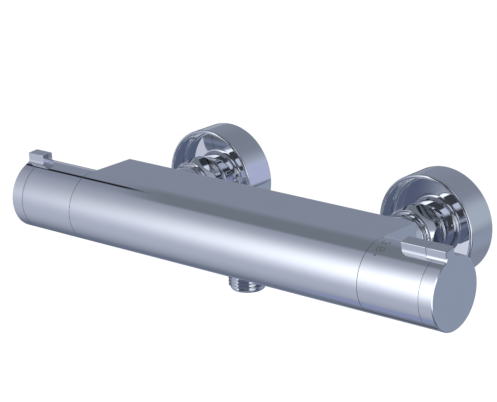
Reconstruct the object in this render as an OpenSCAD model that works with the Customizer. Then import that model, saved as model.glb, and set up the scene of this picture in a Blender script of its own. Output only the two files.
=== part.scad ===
// Thermostatic shower valve: a wall-mounted bar with a flow handle on the left, a temperature handle with
// a safety button on the right, two wall unions behind and a hose outlet below.
// The origin lies on the wall, midway between the inlets. +X runs right, +Y into the wall, +Z up.

/* [Bar] */
// Outside diameter of the bar
bar_d = 39; // [38:0.5:42]
// Distance from the wall to the bar's axis
bar_out = 92; // [88:1:104]
// Length of the body between the two handles
body_len = 196; // [192:1:204]
// Distance from the bar's axis to the back of the deck
deck_back = 31.6; // [30:0.2:36]
// Radius of the deck's long back edges
deck_edge_r = 1.2; // [0.6:0.1:3]

/* [Waterways] */
// Thinnest wall of the casting above and below its channels
cast_wall = 3.5; // [3:0.1:5]
// Thickness of the casting behind its channels
back_wall = 4.6; // [4:0.1:6]
// Thickness of the web between the hot and the mixed channel
channel_web = 4; // [3.6:0.2:6]
// Diameter of the duct for mixed water along the bar's axis
mixed_duct_d = 16; // [12:0.5:18]
// Diameter of the ports between a channel and a cartridge
port_d = 7; // [5:0.5:7.5]
// Diameter of each inlet's water bore
inlet_bore_d = 14; // [12:0.5:14.6]

/* [Inlets] */
// Distance between the two inlets
inlet_pitch = 150; // [147:1:153]
// Outside diameter of the necks on the back of the body
neck_d = 26.4; // [24:0.2:28]
// Length of each neck
neck_len = 21.6; // [20:0.2:24]
// Diameter of the inlet tail's shank
tail_d = 18.4; // [17.6:0.1:19]
// Depth of the inlet tail in the neck
tail_depth = 17; // [14:0.5:18]
// Gap between the inlet tail's flange and the union nut's thread
flange_play = 0.42; // [0.2:0.02:1]
// Thickness of that flange
tail_flange_t = 2.8; // [2:0.1:3.2]
// Thickness of the inlet washer
washer_t = 2.2; // [1.6:0.1:3]
// Inside diameter of the inlet washer
washer_bore_d = 14; // [12:0.2:14.2]

/* [Union nuts] */
// Width across the flats of the union nut
nut_af = 30; // [29:0.5:34]
// Wall of the union nut between its thread and its flats
nut_wall = 1.78; // [1.5:0.01:2.4]
// Length of the union nut
nut_len = 16; // [14:0.5:18]
// Thickness of the nut's inner lip
nut_lip_t = 4.6; // [3:0.1:5]
// Thickness of the shoulder between the round boss in front of the nut's flats and its thread
nut_shoulder_t = 1.1; // [0.8:0.1:1.8]
// How far the nut's turned corners stand out beyond its flats
nut_corner_out = 1.4; // [0.8:0.1:2]
// Length of the cones at both ends of the nut's flats
nut_cone_len = 3.8; // [2:0.1:4.4]
// Wall of the nut over its thread at the thin end of each cone
nut_end_wall = 0.95; // [0.8:0.05:1.2]

/* [Wall unions] */
// Outside diameter of the wall side's pipe thread and of the hose thread
pipe_thread_d = 20.955; // [20.6:0.001:21.2]
// Pitch of both threads
thread_pitch = 1.814; // [1.6:0.001:2]
// Depth of both threads
thread_depth = 1.162; // [0.8:0.001:1.3]
// Offset between the valve side and the wall side
union_offset = 10; // [8:0.5:11]
// Length of the thread that goes into the wall
pipe_len = 15; // [12:0.5:20]
// Thickness of the disc that joins the two sides
union_disc_t = 3.8; // [3:0.2:4.4]
// Wall of the valve side from its bore to its thread
union_wall = 4.72; // [4:0.02:6]
// Bore of the wall side
pipe_bore_d = 15; // [12:0.5:16]

/* [Escutcheons] */
// Outside diameter of the escutcheon
cup_d = 59.7; // [58:0.1:66]
// Depth of the escutcheon from the wall to its rim
cup_depth = 19.9; // [18:0.1:24]
// Thickness of the escutcheon's wall, which its rim rounds off
cup_wall = 2.2; // [1.6:0.1:3]
// Depth of its well from the rim to the floor
cup_well_depth = 9.9; // [8:0.1:11.5]
// Thickness of its floor
cup_floor_t = 1.8; // [1.4:0.1:2.4]
// Radius between its floor and its wall
cup_fillet_r = 2; // [1:0.5:4]
// Gap between the union nut and its threaded collar
collar_gap = 0.6; // [0.4:0.1:4]
// Wall of its threaded collar
collar_wall = 1; // [0.8:0.1:1.8]
// Radius between the collar and the floor
collar_fillet_r = 2.4; // [1:0.1:4]

/* [Hose outlet] */
// Distance of the outlet behind the bar's axis
outlet_back = 15; // [14:0.5:16]
// How far the outlet stands out below the body
outlet_len = 12.4; // [11:0.2:15]
// Length of the plain shank above the hose thread
outlet_shank_len = 1.4; // [1:0.1:2.4]
// Diameter of that shank
outlet_shank_d = 19.6; // [19:0.1:20.6]
// Diameter of the nipple's upper end in the body
outlet_socket_d = 18.6; // [17:0.1:18.8]
// Depth of the nipple's upper end in the body
outlet_socket_depth = 7.4; // [6:0.2:7.6]
// Bore of the nipple
outlet_bore_d = 13; // [10:0.5:14]
// Thickness of the outlet seal
outlet_seal_t = 0.5; // [0.4:0.1:0.6]

/* [Handles] */
// Length of a handle's sleeve from the body's end
sleeve_len = 36.5; // [35:0.5:42]
// Wall of the sleeve
sleeve_wall = 2.5; // [2:0.1:2.6]
// Thickness of the end cap
cap_t = 8.1; // [6:0.1:12]
// Bevel round the end cap's outer face
cap_bevel = 0.5; // [0.4:0.1:1.5]
// Gap at a visible seam
seam_gap = 0.3; // [0.2:0.05:0.5]
// Width of the tab on the end cap
tab_w = 7; // [6:0.2:9]
// Height of the tab above the sleeve
tab_rise = 5; // [4:0.2:8]
// Length of the tab along the bar
tab_len = 11.8; // [10:0.2:13]
// Radius between the tab's foot and the round cap
tab_fillet_r = 2; // [1:0.1:3]
// Tilt of the temperature tab towards the room at rest, in degrees
temperature_tilt = 10.5; // [0:0.5:20]
// Tilt of the flow tab towards the room at rest, in degrees
flow_tilt = 3.5; // [0:0.5:20]

/* [Safety button] */
// Length of the safety button
button_len = 14.6; // [13:0.2:15]
// How far the button goes in
button_travel = 2.5; // [1.5:0.1:2.6]
// Width of the button's flange inside the sleeve
button_flange_w = 10.8; // [9:0.2:11]
// Thickness of that flange
button_flange_t = 1.4; // [1:0.1:1.6]
// Width of the catch that meets the stop ring
catch_w = 4; // [3:0.2:5]
// Thickness of the catch
catch_t = 1.5; // [1:0.1:1.6]

/* [Cartridges] */
// Diameter of both spindles in their guides
spindle_d = 10; // [9:0.2:10.4]
// Diameter of both guides, which stand out of the body's ends
guide_d = 17; // [16:0.2:17.4]
// How far both guides stand out of the body's ends
guide_out = 8.5; // [8:0.1:9]
// Number of teeth on each spline
spline_teeth = 20; // [16:2:24]
// Depth of the spline's teeth
spline_depth = 0.6; // [0.4:0.05:0.8]
// Bore of the thermostat's housing
thermo_bore_d = 22; // [20:0.5:22.4]
// Across-flats width of the headwork's hexagon
headwork_af = 27; // [24:0.5:28]

/* [Hidden] */

$fn = 96;
chrome = [0.74, 0.77, 0.82];
bare_brass = [0.78, 0.65, 0.35];
spring_steel = [0.6, 0.61, 0.63];
black_rubber = [0.08, 0.08, 0.09];
grey_plastic = [0.45, 0.47, 0.5];
white_plastic = [0.9, 0.9, 0.88];
dark_ceramic = [0.35, 0.33, 0.32];
wax_copper = [0.72, 0.45, 0.3];

// How far a cut runs past what it cuts
over = 0.5;
// Gap between pieces that are screwed or pressed together
seat_gap = 0.1;
// Radial gap of a shaft that turns or slides in its guide
run_gap = 0.06;
// Gap between pieces that move past each other
move_gap = 0.3;
// Gap round a cartridge in its bore
cartridge_gap = 0.2;
// Gap between a sleeve and its end cap
cap_gap = 0.2;

bar_r = bar_d / 2;
body_half = body_len / 2;
inlet_x = inlet_pitch / 2;
sleeve_r_in = bar_r - sleeve_wall;
// Outside diameters of the valve side's pipe thread and of the flange that holds the union nut, and the
// bore of the valve side
union_thread_d = nut_af - 2 * nut_wall;
tail_flange_d = union_thread_d - 2 * flange_play;
union_bore_d = union_thread_d - 2 * union_wall;

// The union's stations, from the bar's axis towards the wall
neck_end = deck_back + neck_len;
nut_gap = 0.5;
nut_start = neck_end + nut_gap;
nut_end = nut_start + nut_len;
lip_end = nut_start + nut_lip_t;
flange_start = lip_end + seat_gap;
flange_end = flange_start + tail_flange_t;
washer_end = flange_end + washer_t;
union_start = washer_end + seat_gap;
disc_start = bar_out - union_disc_t;
floor_start = bar_out - cup_depth + cup_well_depth;
floor_end = floor_start + cup_floor_t;
collar_len = floor_start - nut_end - collar_gap;

// Unit shares of one thread: where its flank rises, its crest starts and ends, and its flank meets the root
thread_shares = [0.12, 0.36, 0.66, 0.9];

// Outline of a threaded rod, filled to its axis, from zero to len
function thread_outline(r, len) =
    let (root = r - thread_depth, count = floor(len / thread_pitch))
    concat([[0, 0], [root, 0]],
        [for (i = [0 : count - 1], k = [0 : 3])
            [k == 0 || k == 3 ? root : r, (i + thread_shares[k]) * thread_pitch]],
        [[root, len], [0, len]]);

// A point on a coil's centre line
function coil_point(r, len, turns, i, steps) =
    let (a = 360 * turns * i / steps) [r * cos(a), r * sin(a), len * i / steps];

// Least gap of a coil to itself, measured between points of its centre line half a turn or more apart
function coil_gap(r, wire, len, turns) =
    let (steps = 8 * turns, pts = [for (i = [0 : steps]) coil_point(r, len - 2 * wire, turns, i, steps)])
    min([for (i = [0 : steps], j = [i + 5 : 1 : steps]) norm(pts[i] - pts[j])]) - 2 * wire;

// A coil of wire along +Z with open ends, wire being the wire's radius
module coil(r, wire, len, turns) {
    sides = 6;
    steps = 8 * turns;
    climb = len - 2 * wire;
    lean = atan(climb / (2 * PI * r * turns));
    rings = [for (i = [0 : steps])
        let (a = 360 * turns * i / steps, c = coil_point(r, climb, turns, i, steps))
        [for (k = [0 : sides - 1])
            let (b = 360 * k / sides, out = wire * cos(b), up = wire * sin(b))
            [c[0] + out * cos(a) + up * sin(lean) * sin(a),
             c[1] + out * sin(a) - up * sin(lean) * cos(a),
             c[2] + wire + up * cos(lean)]]];
    skin = [for (i = [0 : steps - 1], k = [0 : sides - 1])
        let (a = i * sides + k, b = i * sides + (k + 1) % sides, c = a + sides, d = b + sides)
        each [[a, c, b], [b, c, d]]];
    start = [for (k = [1 : sides - 2]) [0, k, k + 1]];
    last = steps * sides;
    end = [for (k = [1 : sides - 2]) [last, last + k + 1, last + k]];
    polyhedron(points = [for (ring = rings) each ring], faces = concat(skin, start, end), convexity = 10);
}

// Rods and rings along +X
module rod_x(r, x0, x1) {
    translate([x0, 0, 0]) rotate([0, 90, 0]) cylinder(r = r, h = x1 - x0);
}
module ring_x(r_out, r_in, x0, x1) {
    difference() {
        rod_x(r_out, x0, x1);
        rod_x(r_in, x0 - over, x1 + over);
    }
}
// Rods and rings along +Y
module rod_y(r, y0, y1) {
    translate([0, y0, 0]) rotate([-90, 0, 0]) cylinder(r = r, h = y1 - y0);
}
module ring_y(r_out, r_in, y0, y1) {
    difference() {
        rod_y(r_out, y0, y1);
        rod_y(r_in, y0 - over, y1 + over);
    }
}
// An outline in the plane across the bar, drawn out along +X
module across_bar(x0, x1) {
    translate([x0, 0, 0]) rotate([90, 0, 90]) linear_extrude(x1 - x0) children();
}

module at_bar() {
    translate([0, -bar_out, 0]) children();
}
// Places at an inlet: side is -1 for hot on the left and 1 for cold on the right
module at_inlet(side) {
    translate([side * inlet_x, -bar_out, 0]) children();
}
// Places at an end of the body, where +X points outwards
module at_right_end() {
    translate([body_half, -bar_out, 0]) children();
}
module at_left_end() {
    translate([-body_half, -bar_out, 0]) mirror([1, 0, 0]) children();
}

// Body

// Thermostat's bore, from the right end inwards: the nut's thread, the cold part and the hot part. Its
// diameters come from the housing's bore, its wall and the two steps on the way out
thermo_nut_depth = 12;
thermo_cold_depth = 34;
thermo_hot_depth = 58;
thermo_wall = 3;
thermo_cold_step = 1;
thermo_nut_step = 1.4;
thermo_hot_d = thermo_bore_d + 2 * thermo_wall;
thermo_cold_d = thermo_hot_d + 2 * thermo_cold_step;
thermo_nut_d = thermo_cold_d + 2 * thermo_nut_step;
// Front of the back channels, a little behind the thermostat's bore
channel_wall = 0.6;
channel_front = thermo_cold_d / 2 + channel_wall;
// Headwork's bore, from the left end inwards: its thread, one step wider, and its plain part
headwork_thread_depth = 14;
headwork_thread_step = 2.4;
headwork_depth = 52;
headwork_d = 22;
headwork_thread_d = headwork_d + 2 * headwork_thread_step;
// Ports from the back channels: depth below the body's end, lean from the level, and reach from the axis
hot_port_depth = 47;
mixed_port_depth = 36.5;
port_lean = 35;
port_reach = 22;
// Outlet duct: its diameter, its level below the axis and its start left of the outlet
duct_d = 10;
duct_below = 7;
duct_start = 13;

module body_outline() {
    circle(r = bar_r);
    translate([0, -bar_r]) square([deck_back - deck_edge_r, bar_d]);
    translate([0, -bar_r + deck_edge_r]) square([deck_back, bar_d - 2 * deck_edge_r]);
    for (side = [-1, 1])
        translate([deck_back - deck_edge_r, side * (bar_r - deck_edge_r)]) circle(r = deck_edge_r);
}

// A channel behind the bar's axis: level is 1 for the upper one and -1 for the lower one
module back_channel(x0, x1, level) {
    height = bar_r - cast_wall - channel_web / 2;
    bottom = level > 0 ? channel_web / 2 : -channel_web / 2 - height;
    translate([x0, channel_front, bottom]) cube([x1 - x0, deck_back - back_wall - channel_front, height]);
}

// A slanting port from a cartridge to a back channel
module slant_port(x, level) {
    translate([x, 0, 0]) rotate([-90 + level * port_lean, 0, 0]) cylinder(d = port_d, h = port_reach);
}

module valve_body() {
    hot_x = body_half - hot_port_depth;
    mixed_x = -body_half + mixed_port_depth;
    tail_end = neck_end - tail_depth - seat_gap;
    color(chrome) at_bar() difference() {
        union() {
            across_bar(-body_half, body_half) body_outline();
            for (side = [-1, 1])
                translate([side * inlet_x, 0, 0]) rod_y(neck_d / 2, deck_back - over, neck_end);
        }
        // Thermostat's bore, stepped down from the right end
        rod_x(thermo_nut_d / 2, body_half - thermo_nut_depth, body_half + over);
        rod_x(thermo_cold_d / 2, body_half - thermo_cold_depth, body_half);
        rod_x(thermo_hot_d / 2, body_half - thermo_hot_depth, body_half);
        // Headwork's bore, stepped down from the left end
        rod_x(headwork_thread_d / 2, -body_half - over, -body_half + headwork_thread_depth);
        rod_x(headwork_d / 2, -body_half, -body_half + headwork_depth);
        rod_x(mixed_duct_d / 2, -body_half, body_half - thermo_hot_depth + over);
        // Hot channel above, mixed channel below
        back_channel(-inlet_x - inlet_bore_d / 2, hot_x + port_d / 2, 1);
        back_channel(-inlet_x + inlet_bore_d / 2 + cast_wall, -duct_start, -1);
        slant_port(hot_x, 1);
        slant_port(mixed_x, -1);
        // Inlets: the hot one ends in its channel, the cold one in the thermostat's bore
        translate([-inlet_x, 0, 0]) rod_y(inlet_bore_d / 2, channel_front, neck_end);
        translate([inlet_x, 0, 0]) rod_y(inlet_bore_d / 2, 0, neck_end);
        for (side = [-1, 1])
            translate([side * inlet_x, 0, 0]) rod_y(tail_d / 2 + seat_gap, tail_end, neck_end + over);
        // Outlet
        translate([0, outlet_back, -duct_below]) rod_x(duct_d / 2, -duct_start - over, 0);
        translate([0, outlet_back, -bar_r]) {
            cylinder(d = duct_d, h = bar_r - duct_below);
            translate([0, 0, -over])
                cylinder(r = outlet_socket_d / 2 + seat_gap, h = outlet_socket_depth + outlet_seal_t + over);
        }
    }
}

// Hose outlet

module outlet_nipple() {
    color(chrome) translate([0, -bar_out + outlet_back, -bar_r]) difference() {
        union() {
            cylinder(d = outlet_socket_d, h = outlet_socket_depth - seat_gap);
            translate([0, 0, -outlet_shank_len]) cylinder(d = outlet_shank_d, h = outlet_shank_len - seat_gap);
            translate([0, 0, -outlet_shank_len]) cylinder(d = outlet_socket_d, h = outlet_shank_len + over);
            translate([0, 0, -outlet_len])
                rotate_extrude() polygon(thread_outline(pipe_thread_d / 2, outlet_len - outlet_shank_len + seat_gap));
        }
        translate([0, 0, -outlet_len - over])
            cylinder(d = outlet_bore_d, h = outlet_len + outlet_socket_depth + 2 * over);
    }
}

module outlet_seal() {
    color(black_rubber) translate([0, -bar_out + outlet_back, -bar_r + outlet_socket_depth]) difference() {
        cylinder(d = outlet_socket_d, h = outlet_seal_t);
        translate([0, 0, -over]) cylinder(d = outlet_bore_d, h = outlet_seal_t + 2 * over);
    }
}

// Inlets

// Check valve's cage in the tail, open towards the bar through a spider, with the seat towards the wall
cage_start = 42;
cage_len = 17.5;
cage_d = 14.4;
cage_bore_d = 11.2;
cage_seat_d = 7.6;
cage_seat_t = 2;
spider_t = 2;
spider_arm_w = 1.6;
spider_hub_d = 5;
tail_ledge_d = 11;
cage_end = cage_start + cage_len;
spider_end = cage_start + spider_t;
// Poppet, which moves towards the bar, and its spring
poppet_d = 10;
poppet_t = 1.9;
poppet_stem_d = 2.4;
check_spring_r = 3.2;
check_wire_r = 0.3;
check_turns = 5;
poppet_end = cage_end - cage_seat_t - seat_gap;
check_spring_len = poppet_end - poppet_t - spider_end - 2 * seat_gap;
// Strainer: its thickness, its holes and the step between their rings
strainer_t = 0.6;
strainer_hole_d = 1.6;
strainer_step = 2.6;
strainer_rings = 2;

module inlet_tail(side) {
    color(bare_brass) at_inlet(side) difference() {
        union() {
            rod_y(tail_d / 2, neck_end - tail_depth, flange_start + over);
            rod_y(tail_flange_d / 2, flange_start, flange_end);
        }
        rod_y(cage_d / 2 + seat_gap, cage_start - seat_gap, flange_end + over);
        rod_y(tail_ledge_d / 2, neck_end - tail_depth - over, cage_start);
    }
}

module union_nut(side) {
    boss_r = neck_d / 2;
    boss_len = nut_lip_t - nut_shoulder_t;
    bore_r = union_thread_d / 2 + seat_gap;
    end_r = bore_r + nut_end_wall;
    turned_r = nut_af / 2 + nut_corner_out;
    color(chrome) at_inlet(side) translate([0, nut_start, 0]) rotate([-90, 0, 0]) difference() {
        intersection() {
            rotate([0, 0, 30]) cylinder(r = nut_af / sqrt(3), h = nut_len, $fn = 6);
            rotate_extrude() polygon([[0, 0], [boss_r, 0], [boss_r, boss_len], [end_r, boss_len],
                [turned_r, boss_len + nut_cone_len], [turned_r, nut_len - nut_cone_len], [end_r, nut_len],
                [0, nut_len]]);
        }
        translate([0, 0, -over]) cylinder(r = tail_d / 2 + move_gap, h = nut_lip_t + 2 * over);
        translate([0, 0, nut_lip_t]) cylinder(r = bore_r, h = nut_len);
    }
}

module inlet_washer(side) {
    color(black_rubber) at_inlet(side)
        ring_y(tail_flange_d / 2, washer_bore_d / 2, flange_end, washer_end);
}

module inlet_strainer(side) {
    middle = washer_end - washer_t / 2;
    color(spring_steel) at_inlet(side) difference() {
        rod_y(washer_bore_d / 2 - seat_gap, middle, middle + strainer_t);
        for (ring = [0 : strainer_rings], i = [0 : max(1, 6 * ring) - 1])
            rotate([0, 60 * i / max(1, ring), 0]) translate([ring * strainer_step, 0, 0])
                rod_y(strainer_hole_d / 2, flange_end, washer_end + over);
    }
}

module check_cage(side) {
    color(white_plastic) at_inlet(side) {
        difference() {
            rod_y(cage_d / 2, cage_start, cage_end);
            rod_y(cage_bore_d / 2, cage_start - over, cage_end - cage_seat_t);
            rod_y(cage_seat_d / 2, cage_start, cage_end + over);
        }
        difference() {
            union() {
                rod_y(spider_hub_d / 2, cage_start, spider_end);
                for (a = [0, 60, 120]) rotate([0, a, 0])
                    translate([-cage_bore_d / 2 - over, cage_start, -spider_arm_w / 2])
                        cube([cage_bore_d + 2 * over, spider_t, spider_arm_w]);
            }
            rod_y(poppet_stem_d / 2 + run_gap, cage_start - over, spider_end + over);
        }
    }
}

module check_poppet(side) {
    color(grey_plastic) at_inlet(side) {
        rod_y(poppet_d / 2, poppet_end - poppet_t, poppet_end);
        rod_y(poppet_stem_d / 2, cage_start + seat_gap, poppet_end - poppet_t + seat_gap);
    }
}

module check_spring(side) {
    color(spring_steel) at_inlet(side) translate([0, spider_end + seat_gap, 0]) rotate([-90, 0, 0])
        coil(check_spring_r, check_wire_r, check_spring_len, check_turns);
}

// Wall unions and escutcheons

union_face_r = (union_thread_d / 2 + pipe_thread_d / 2 + union_offset) / 2;

module wall_union(side) {
    face_drop = union_face_r - union_thread_d / 2;
    color(chrome) at_inlet(side) difference() {
        union() {
            translate([0, union_start, 0]) rotate([-90, 0, 0])
                rotate_extrude() polygon(thread_outline(union_thread_d / 2, disc_start - union_start + seat_gap));
            translate([0, 0, -face_drop]) rod_y(union_face_r, disc_start, bar_out);
            translate([0, bar_out - seat_gap, -union_offset]) rotate([-90, 0, 0])
                rotate_extrude() polygon(thread_outline(pipe_thread_d / 2, pipe_len + seat_gap));
        }
        rod_y(union_bore_d / 2, union_start - over, bar_out - seat_gap);
        translate([0, 0, -union_offset]) rod_y(pipe_bore_d / 2, disc_start + seat_gap, bar_out + pipe_len + over);
    }
}

// Half of the escutcheon's section: across is the distance from its axis, up is the distance from the wall
module cup_outline() {
    r = cup_d / 2;
    r_in = r - cup_wall;
    collar_in = union_thread_d / 2 + seat_gap;
    collar_out = collar_in + collar_wall;
    floor_low = bar_out - floor_end;
    floor_top = floor_low + cup_floor_t;
    translate([r_in, 0]) square([cup_wall, cup_depth - cup_wall / 2]);
    translate([r_in + cup_wall / 2, cup_depth - cup_wall / 2]) circle(d = cup_wall);
    translate([collar_in, floor_low]) square([r_in - collar_in + cup_wall / 2, cup_floor_t]);
    translate([collar_in, floor_low]) square([collar_wall, cup_floor_t + collar_len]);
    difference() {
        translate([r_in - cup_fillet_r, floor_top - seat_gap])
            square([cup_fillet_r + seat_gap, cup_fillet_r + seat_gap]);
        translate([r_in - cup_fillet_r, floor_top + cup_fillet_r]) circle(r = cup_fillet_r);
    }
    difference() {
        translate([collar_out - seat_gap, floor_top - seat_gap])
            square([collar_fillet_r + seat_gap, collar_fillet_r + seat_gap]);
        translate([collar_out + collar_fillet_r, floor_top + collar_fillet_r]) circle(r = collar_fillet_r);
    }
}

module escutcheon(side) {
    color(chrome) at_inlet(side) translate([0, bar_out, 0]) rotate([90, 0, 0]) rotate_extrude() cup_outline();
}

// Thermostat: stations are measured outwards from the body's right end

// Housing: its inner end, the step between its hot and cold part, its outer end and the head's thickness
thermo_end_depth = 57;
thermo_head_t = 2;
thermo_end = -thermo_end_depth;
thermo_step = -thermo_cold_depth + cartridge_gap;
thermo_head = -thermo_nut_depth;
thermo_inner = thermo_head - thermo_head_t;
thermo_bore_r = thermo_bore_d / 2;
// Windows through a cartridge, in a waist that lets water round it
window_len = 6;
window_w = 7;
waist_wall = 1.4;
waist_margin = 0.6;
cold_window_depth = 26.8;
hot_window = -hot_port_depth;
cold_window = -cold_window_depth;
// O-rings: their cross-section, their grooves and their depths below the body's ends
o_ring_r = 0.85;
o_ring_gap = 0.05;
o_groove_w = 2.2;
thermo_ring_depths = [54, 37.8, 17];
headwork_ring_depths = [22, 26];
// Shuttle, which covers the edge of the hot windows on one side and of the cold ones on the other
shuttle_cover = 1;
shuttle_wall = 1.6;
shuttle_web_t = 2;
shuttle_web_from_end = 8;
shuttle_holes = 6;
shuttle_hole_d = 3.4;
shuttle_start = hot_window + window_len / 2 - shuttle_cover;
shuttle_end = cold_window - window_len / 2 + shuttle_cover;
web_start = shuttle_start + shuttle_web_from_end;
web_end = web_start + shuttle_web_t;
// Wax element: bulb, flange, stem with a collar, and pin
wax_start_depth = 52.6;
wax_d = 11;
wax_flange_t = 1.8;
wax_stem_d = 6;
wax_stem_len = 6;
wax_collar_t = 1.5;
wax_pin_d = 3;
wax_pin_len = 4;
collar_end = web_end + wax_stem_len;
// Thrust cup, which the spindle's thread moves along the bar, in the housing's bore
thrust_gap = 0.5;
thrust_play = 3.5;
thrust_wall = 1.9;
thrust_d = thermo_bore_d - 2 * thrust_play;
thrust_cavity_d = thrust_d - 2 * thrust_wall;
wax_collar_d = thrust_cavity_d - 2 * move_gap;
thrust_thread_len = 5;
drive_thread_d = 8;
key_w = 3;
key_depth = 0.9;
spindle_collar_d = 13;
spindle_collar_t = 1.8;
thrust_start = collar_end + thrust_gap;
thrust_end = thermo_inner - spindle_collar_t - thrust_gap;
cavity_end = thrust_end - thrust_thread_len;
// Springs: radius of the wire, room round the coil, radius of the coil and number of turns
overtravel_wire_r = 0.5;
overtravel_play = 0.7;
overtravel_r = thrust_cavity_d / 2 - overtravel_play - overtravel_wire_r;
overtravel_turns = 3;
overtravel_len = cavity_end - collar_end - 2 * seat_gap;
return_wire_r = 0.6;
return_play = 2;
return_r = thermo_bore_r - return_play - return_wire_r;
return_turns = 4;
// Flange of the wax element inside the return spring, and the ring that holds the spring's other end
wax_flange_play = 0.6;
wax_flange_d = 2 * (return_r - return_wire_r - wax_flange_play);
retainer_t = 2.1;
retainer_w = 3.7;
retainer_bore_d = thermo_bore_d - 2 * retainer_w;
return_start = thermo_end + retainer_t + seat_gap;
return_len = web_start - return_start - seat_gap;
// Spindle's outer half, outwards from the body's end: clip groove, spline and screw hole. The spline ends
// below the ledge in the hub that the screw's head sits on
clip_d = 15;
clip_t = 1;
clip_groove_d = 8.6;
clip_mouth_w = 7;
spline_start = 10.2;
spline_to_ledge = 5;
ledge_to_sleeve_end = 8.5;
hub_ledge = sleeve_len - ledge_to_sleeve_end;
spline_end = hub_ledge - spline_to_ledge;
screw_hole_d = 5;
screw_hole_depth = 10.5;

module o_ring(r_bore, x) {
    translate([x, 0, 0]) rotate([0, 90, 0])
        rotate_extrude() translate([r_bore - o_ring_gap - o_ring_r, 0]) circle(r = o_ring_r, $fn = 32);
}
module o_groove(r_bore, x) {
    ring_x(r_bore + over, r_bore - 2 * o_ring_r - 2 * o_ring_gap, x - o_groove_w / 2, x + o_groove_w / 2);
}
// Four windows through a cartridge's side in a waist; turn sets them upright or on the slant
module windows(x, r_bore, turn) {
    for (a = [turn, turn + 90]) rotate([a, 0, 0])
        translate([x - window_len / 2, -window_w / 2, -bar_r]) cube([window_len, window_w, bar_d]);
    ring_x(bar_r, r_bore + waist_wall, x - window_len / 2 - waist_margin, x + window_len / 2 + waist_margin);
}

module thermostat_housing() {
    key_reach = thermo_bore_r + key_depth + move_gap;
    key_slot_start = thrust_end - 2 * key_w;
    color(bare_brass) at_right_end() difference() {
        union() {
            rod_x(thermo_hot_d / 2 - cartridge_gap, thermo_end, thermo_step + over);
            rod_x(thermo_cold_d / 2 - cartridge_gap, thermo_step, thermo_head);
            rod_x(guide_d / 2, thermo_head - over, guide_out);
        }
        rod_x(thermo_bore_r, thermo_end - over, thermo_inner);
        rod_x(spindle_d / 2 + run_gap, thermo_inner - over, guide_out + over);
        windows(hot_window, thermo_bore_r, 45);
        windows(cold_window, thermo_bore_r, 0);
        translate([key_slot_start, -key_reach, -key_w / 2 - move_gap])
            cube([thermo_inner - key_slot_start, 2 * key_reach, key_w + 2 * move_gap]);
        for (i = [0 : 2]) o_groove(i < 2 ? thermo_hot_d / 2 : thermo_cold_d / 2, -thermo_ring_depths[i]);
    }
}

module thermostat_nut() {
    pin_circle = (thermo_nut_d / 2 + guide_d / 2) / 2;
    pin_hole_d = 3.2;
    pin_hole_depth = 4;
    color(bare_brass) at_right_end() difference() {
        ring_x(thermo_nut_d / 2 - cartridge_gap, guide_d / 2 + cartridge_gap, thermo_head + seat_gap, -seat_gap);
        for (a = [0 : 90 : 270]) rotate([a, 0, 0]) translate([0, 0, pin_circle])
            rod_x(pin_hole_d / 2, -pin_hole_depth, over);
    }
}

module thermostat_o_rings() {
    color(black_rubber) at_right_end() for (i = [0 : 2])
        o_ring(i < 2 ? thermo_hot_d / 2 : thermo_cold_d / 2, -thermo_ring_depths[i]);
}

// A splined end, from the clip to the spindle's outer face; grow widens it into a bore
module spline(x0, x1, grow) {
    r = spindle_d / 2 + grow;
    outline = [for (i = [0 : 2 * spline_teeth - 1])
        let (a = 360 * (i + 0.5) / (2 * spline_teeth), rr = i % 2 == 0 ? r : r - spline_depth)
        each [[rr * cos(a - 90 / spline_teeth / 2), rr * sin(a - 90 / spline_teeth / 2)],
              [rr * cos(a + 90 / spline_teeth / 2), rr * sin(a + 90 / spline_teeth / 2)]]];
    across_bar(x0, x1) polygon(outline);
}

// The outer half of a spindle, alike at both ends
module spindle_end(x0) {
    difference() {
        union() {
            rod_x(spindle_d / 2, x0, guide_out + seat_gap);
            rod_x(clip_groove_d / 2, guide_out, spline_start + over);
            spline(spline_start, spline_end, 0);
        }
        rod_x(screw_hole_d / 2, spline_end - screw_hole_depth, spline_end + over);
    }
}

// A spring clip in the spindle's groove, outside the guide
module spindle_clip() {
    start = guide_out + seat_gap;
    difference() {
        ring_x(clip_d / 2, clip_groove_d / 2 + seat_gap, start, start + clip_t);
        translate([start - over, -clip_mouth_w / 2, -clip_d]) cube([clip_t + 2 * over, clip_mouth_w, clip_d]);
    }
}

module temperature_spindle() {
    collar_face = thermo_inner - seat_gap;
    color(bare_brass) at_right_end() rotate([temperature_tilt, 0, 0]) {
        spindle_end(collar_face - over);
        rod_x(spindle_collar_d / 2, collar_face - spindle_collar_t, collar_face);
        rod_x(drive_thread_d / 2, cavity_end + seat_gap, collar_face - spindle_collar_t + over);
    }
}

module temperature_clip() {
    color(spring_steel) at_right_end() rotate([temperature_tilt, 0, 0]) spindle_clip();
}

module thrust_cup() {
    color(grey_plastic) at_right_end() difference() {
        union() {
            rod_x(thrust_d / 2, thrust_start, thrust_end);
            translate([thrust_end - key_w, -thermo_bore_r - key_depth, -key_w / 2])
                cube([key_w, thermo_bore_d + 2 * key_depth, key_w]);
        }
        rod_x(thrust_cavity_d / 2, thrust_start - over, cavity_end);
        rod_x(drive_thread_d / 2 + run_gap, thrust_start, thrust_end + over);
    }
}

module overtravel_spring() {
    color(spring_steel) at_right_end() translate([collar_end + seat_gap, 0, 0]) rotate([0, 90, 0])
        coil(overtravel_r, overtravel_wire_r, overtravel_len, overtravel_turns);
}

module wax_element() {
    flange = web_start - seat_gap - wax_flange_t;
    color(wax_copper) at_right_end() {
        rod_x(wax_d / 2, -wax_start_depth, flange + over);
        rod_x(wax_flange_d / 2, flange, flange + wax_flange_t);
        rod_x(wax_stem_d / 2, flange, collar_end);
        rod_x(wax_collar_d / 2, collar_end - wax_collar_t, collar_end);
        rod_x(wax_pin_d / 2, collar_end - over, collar_end + wax_pin_len);
    }
}

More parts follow.
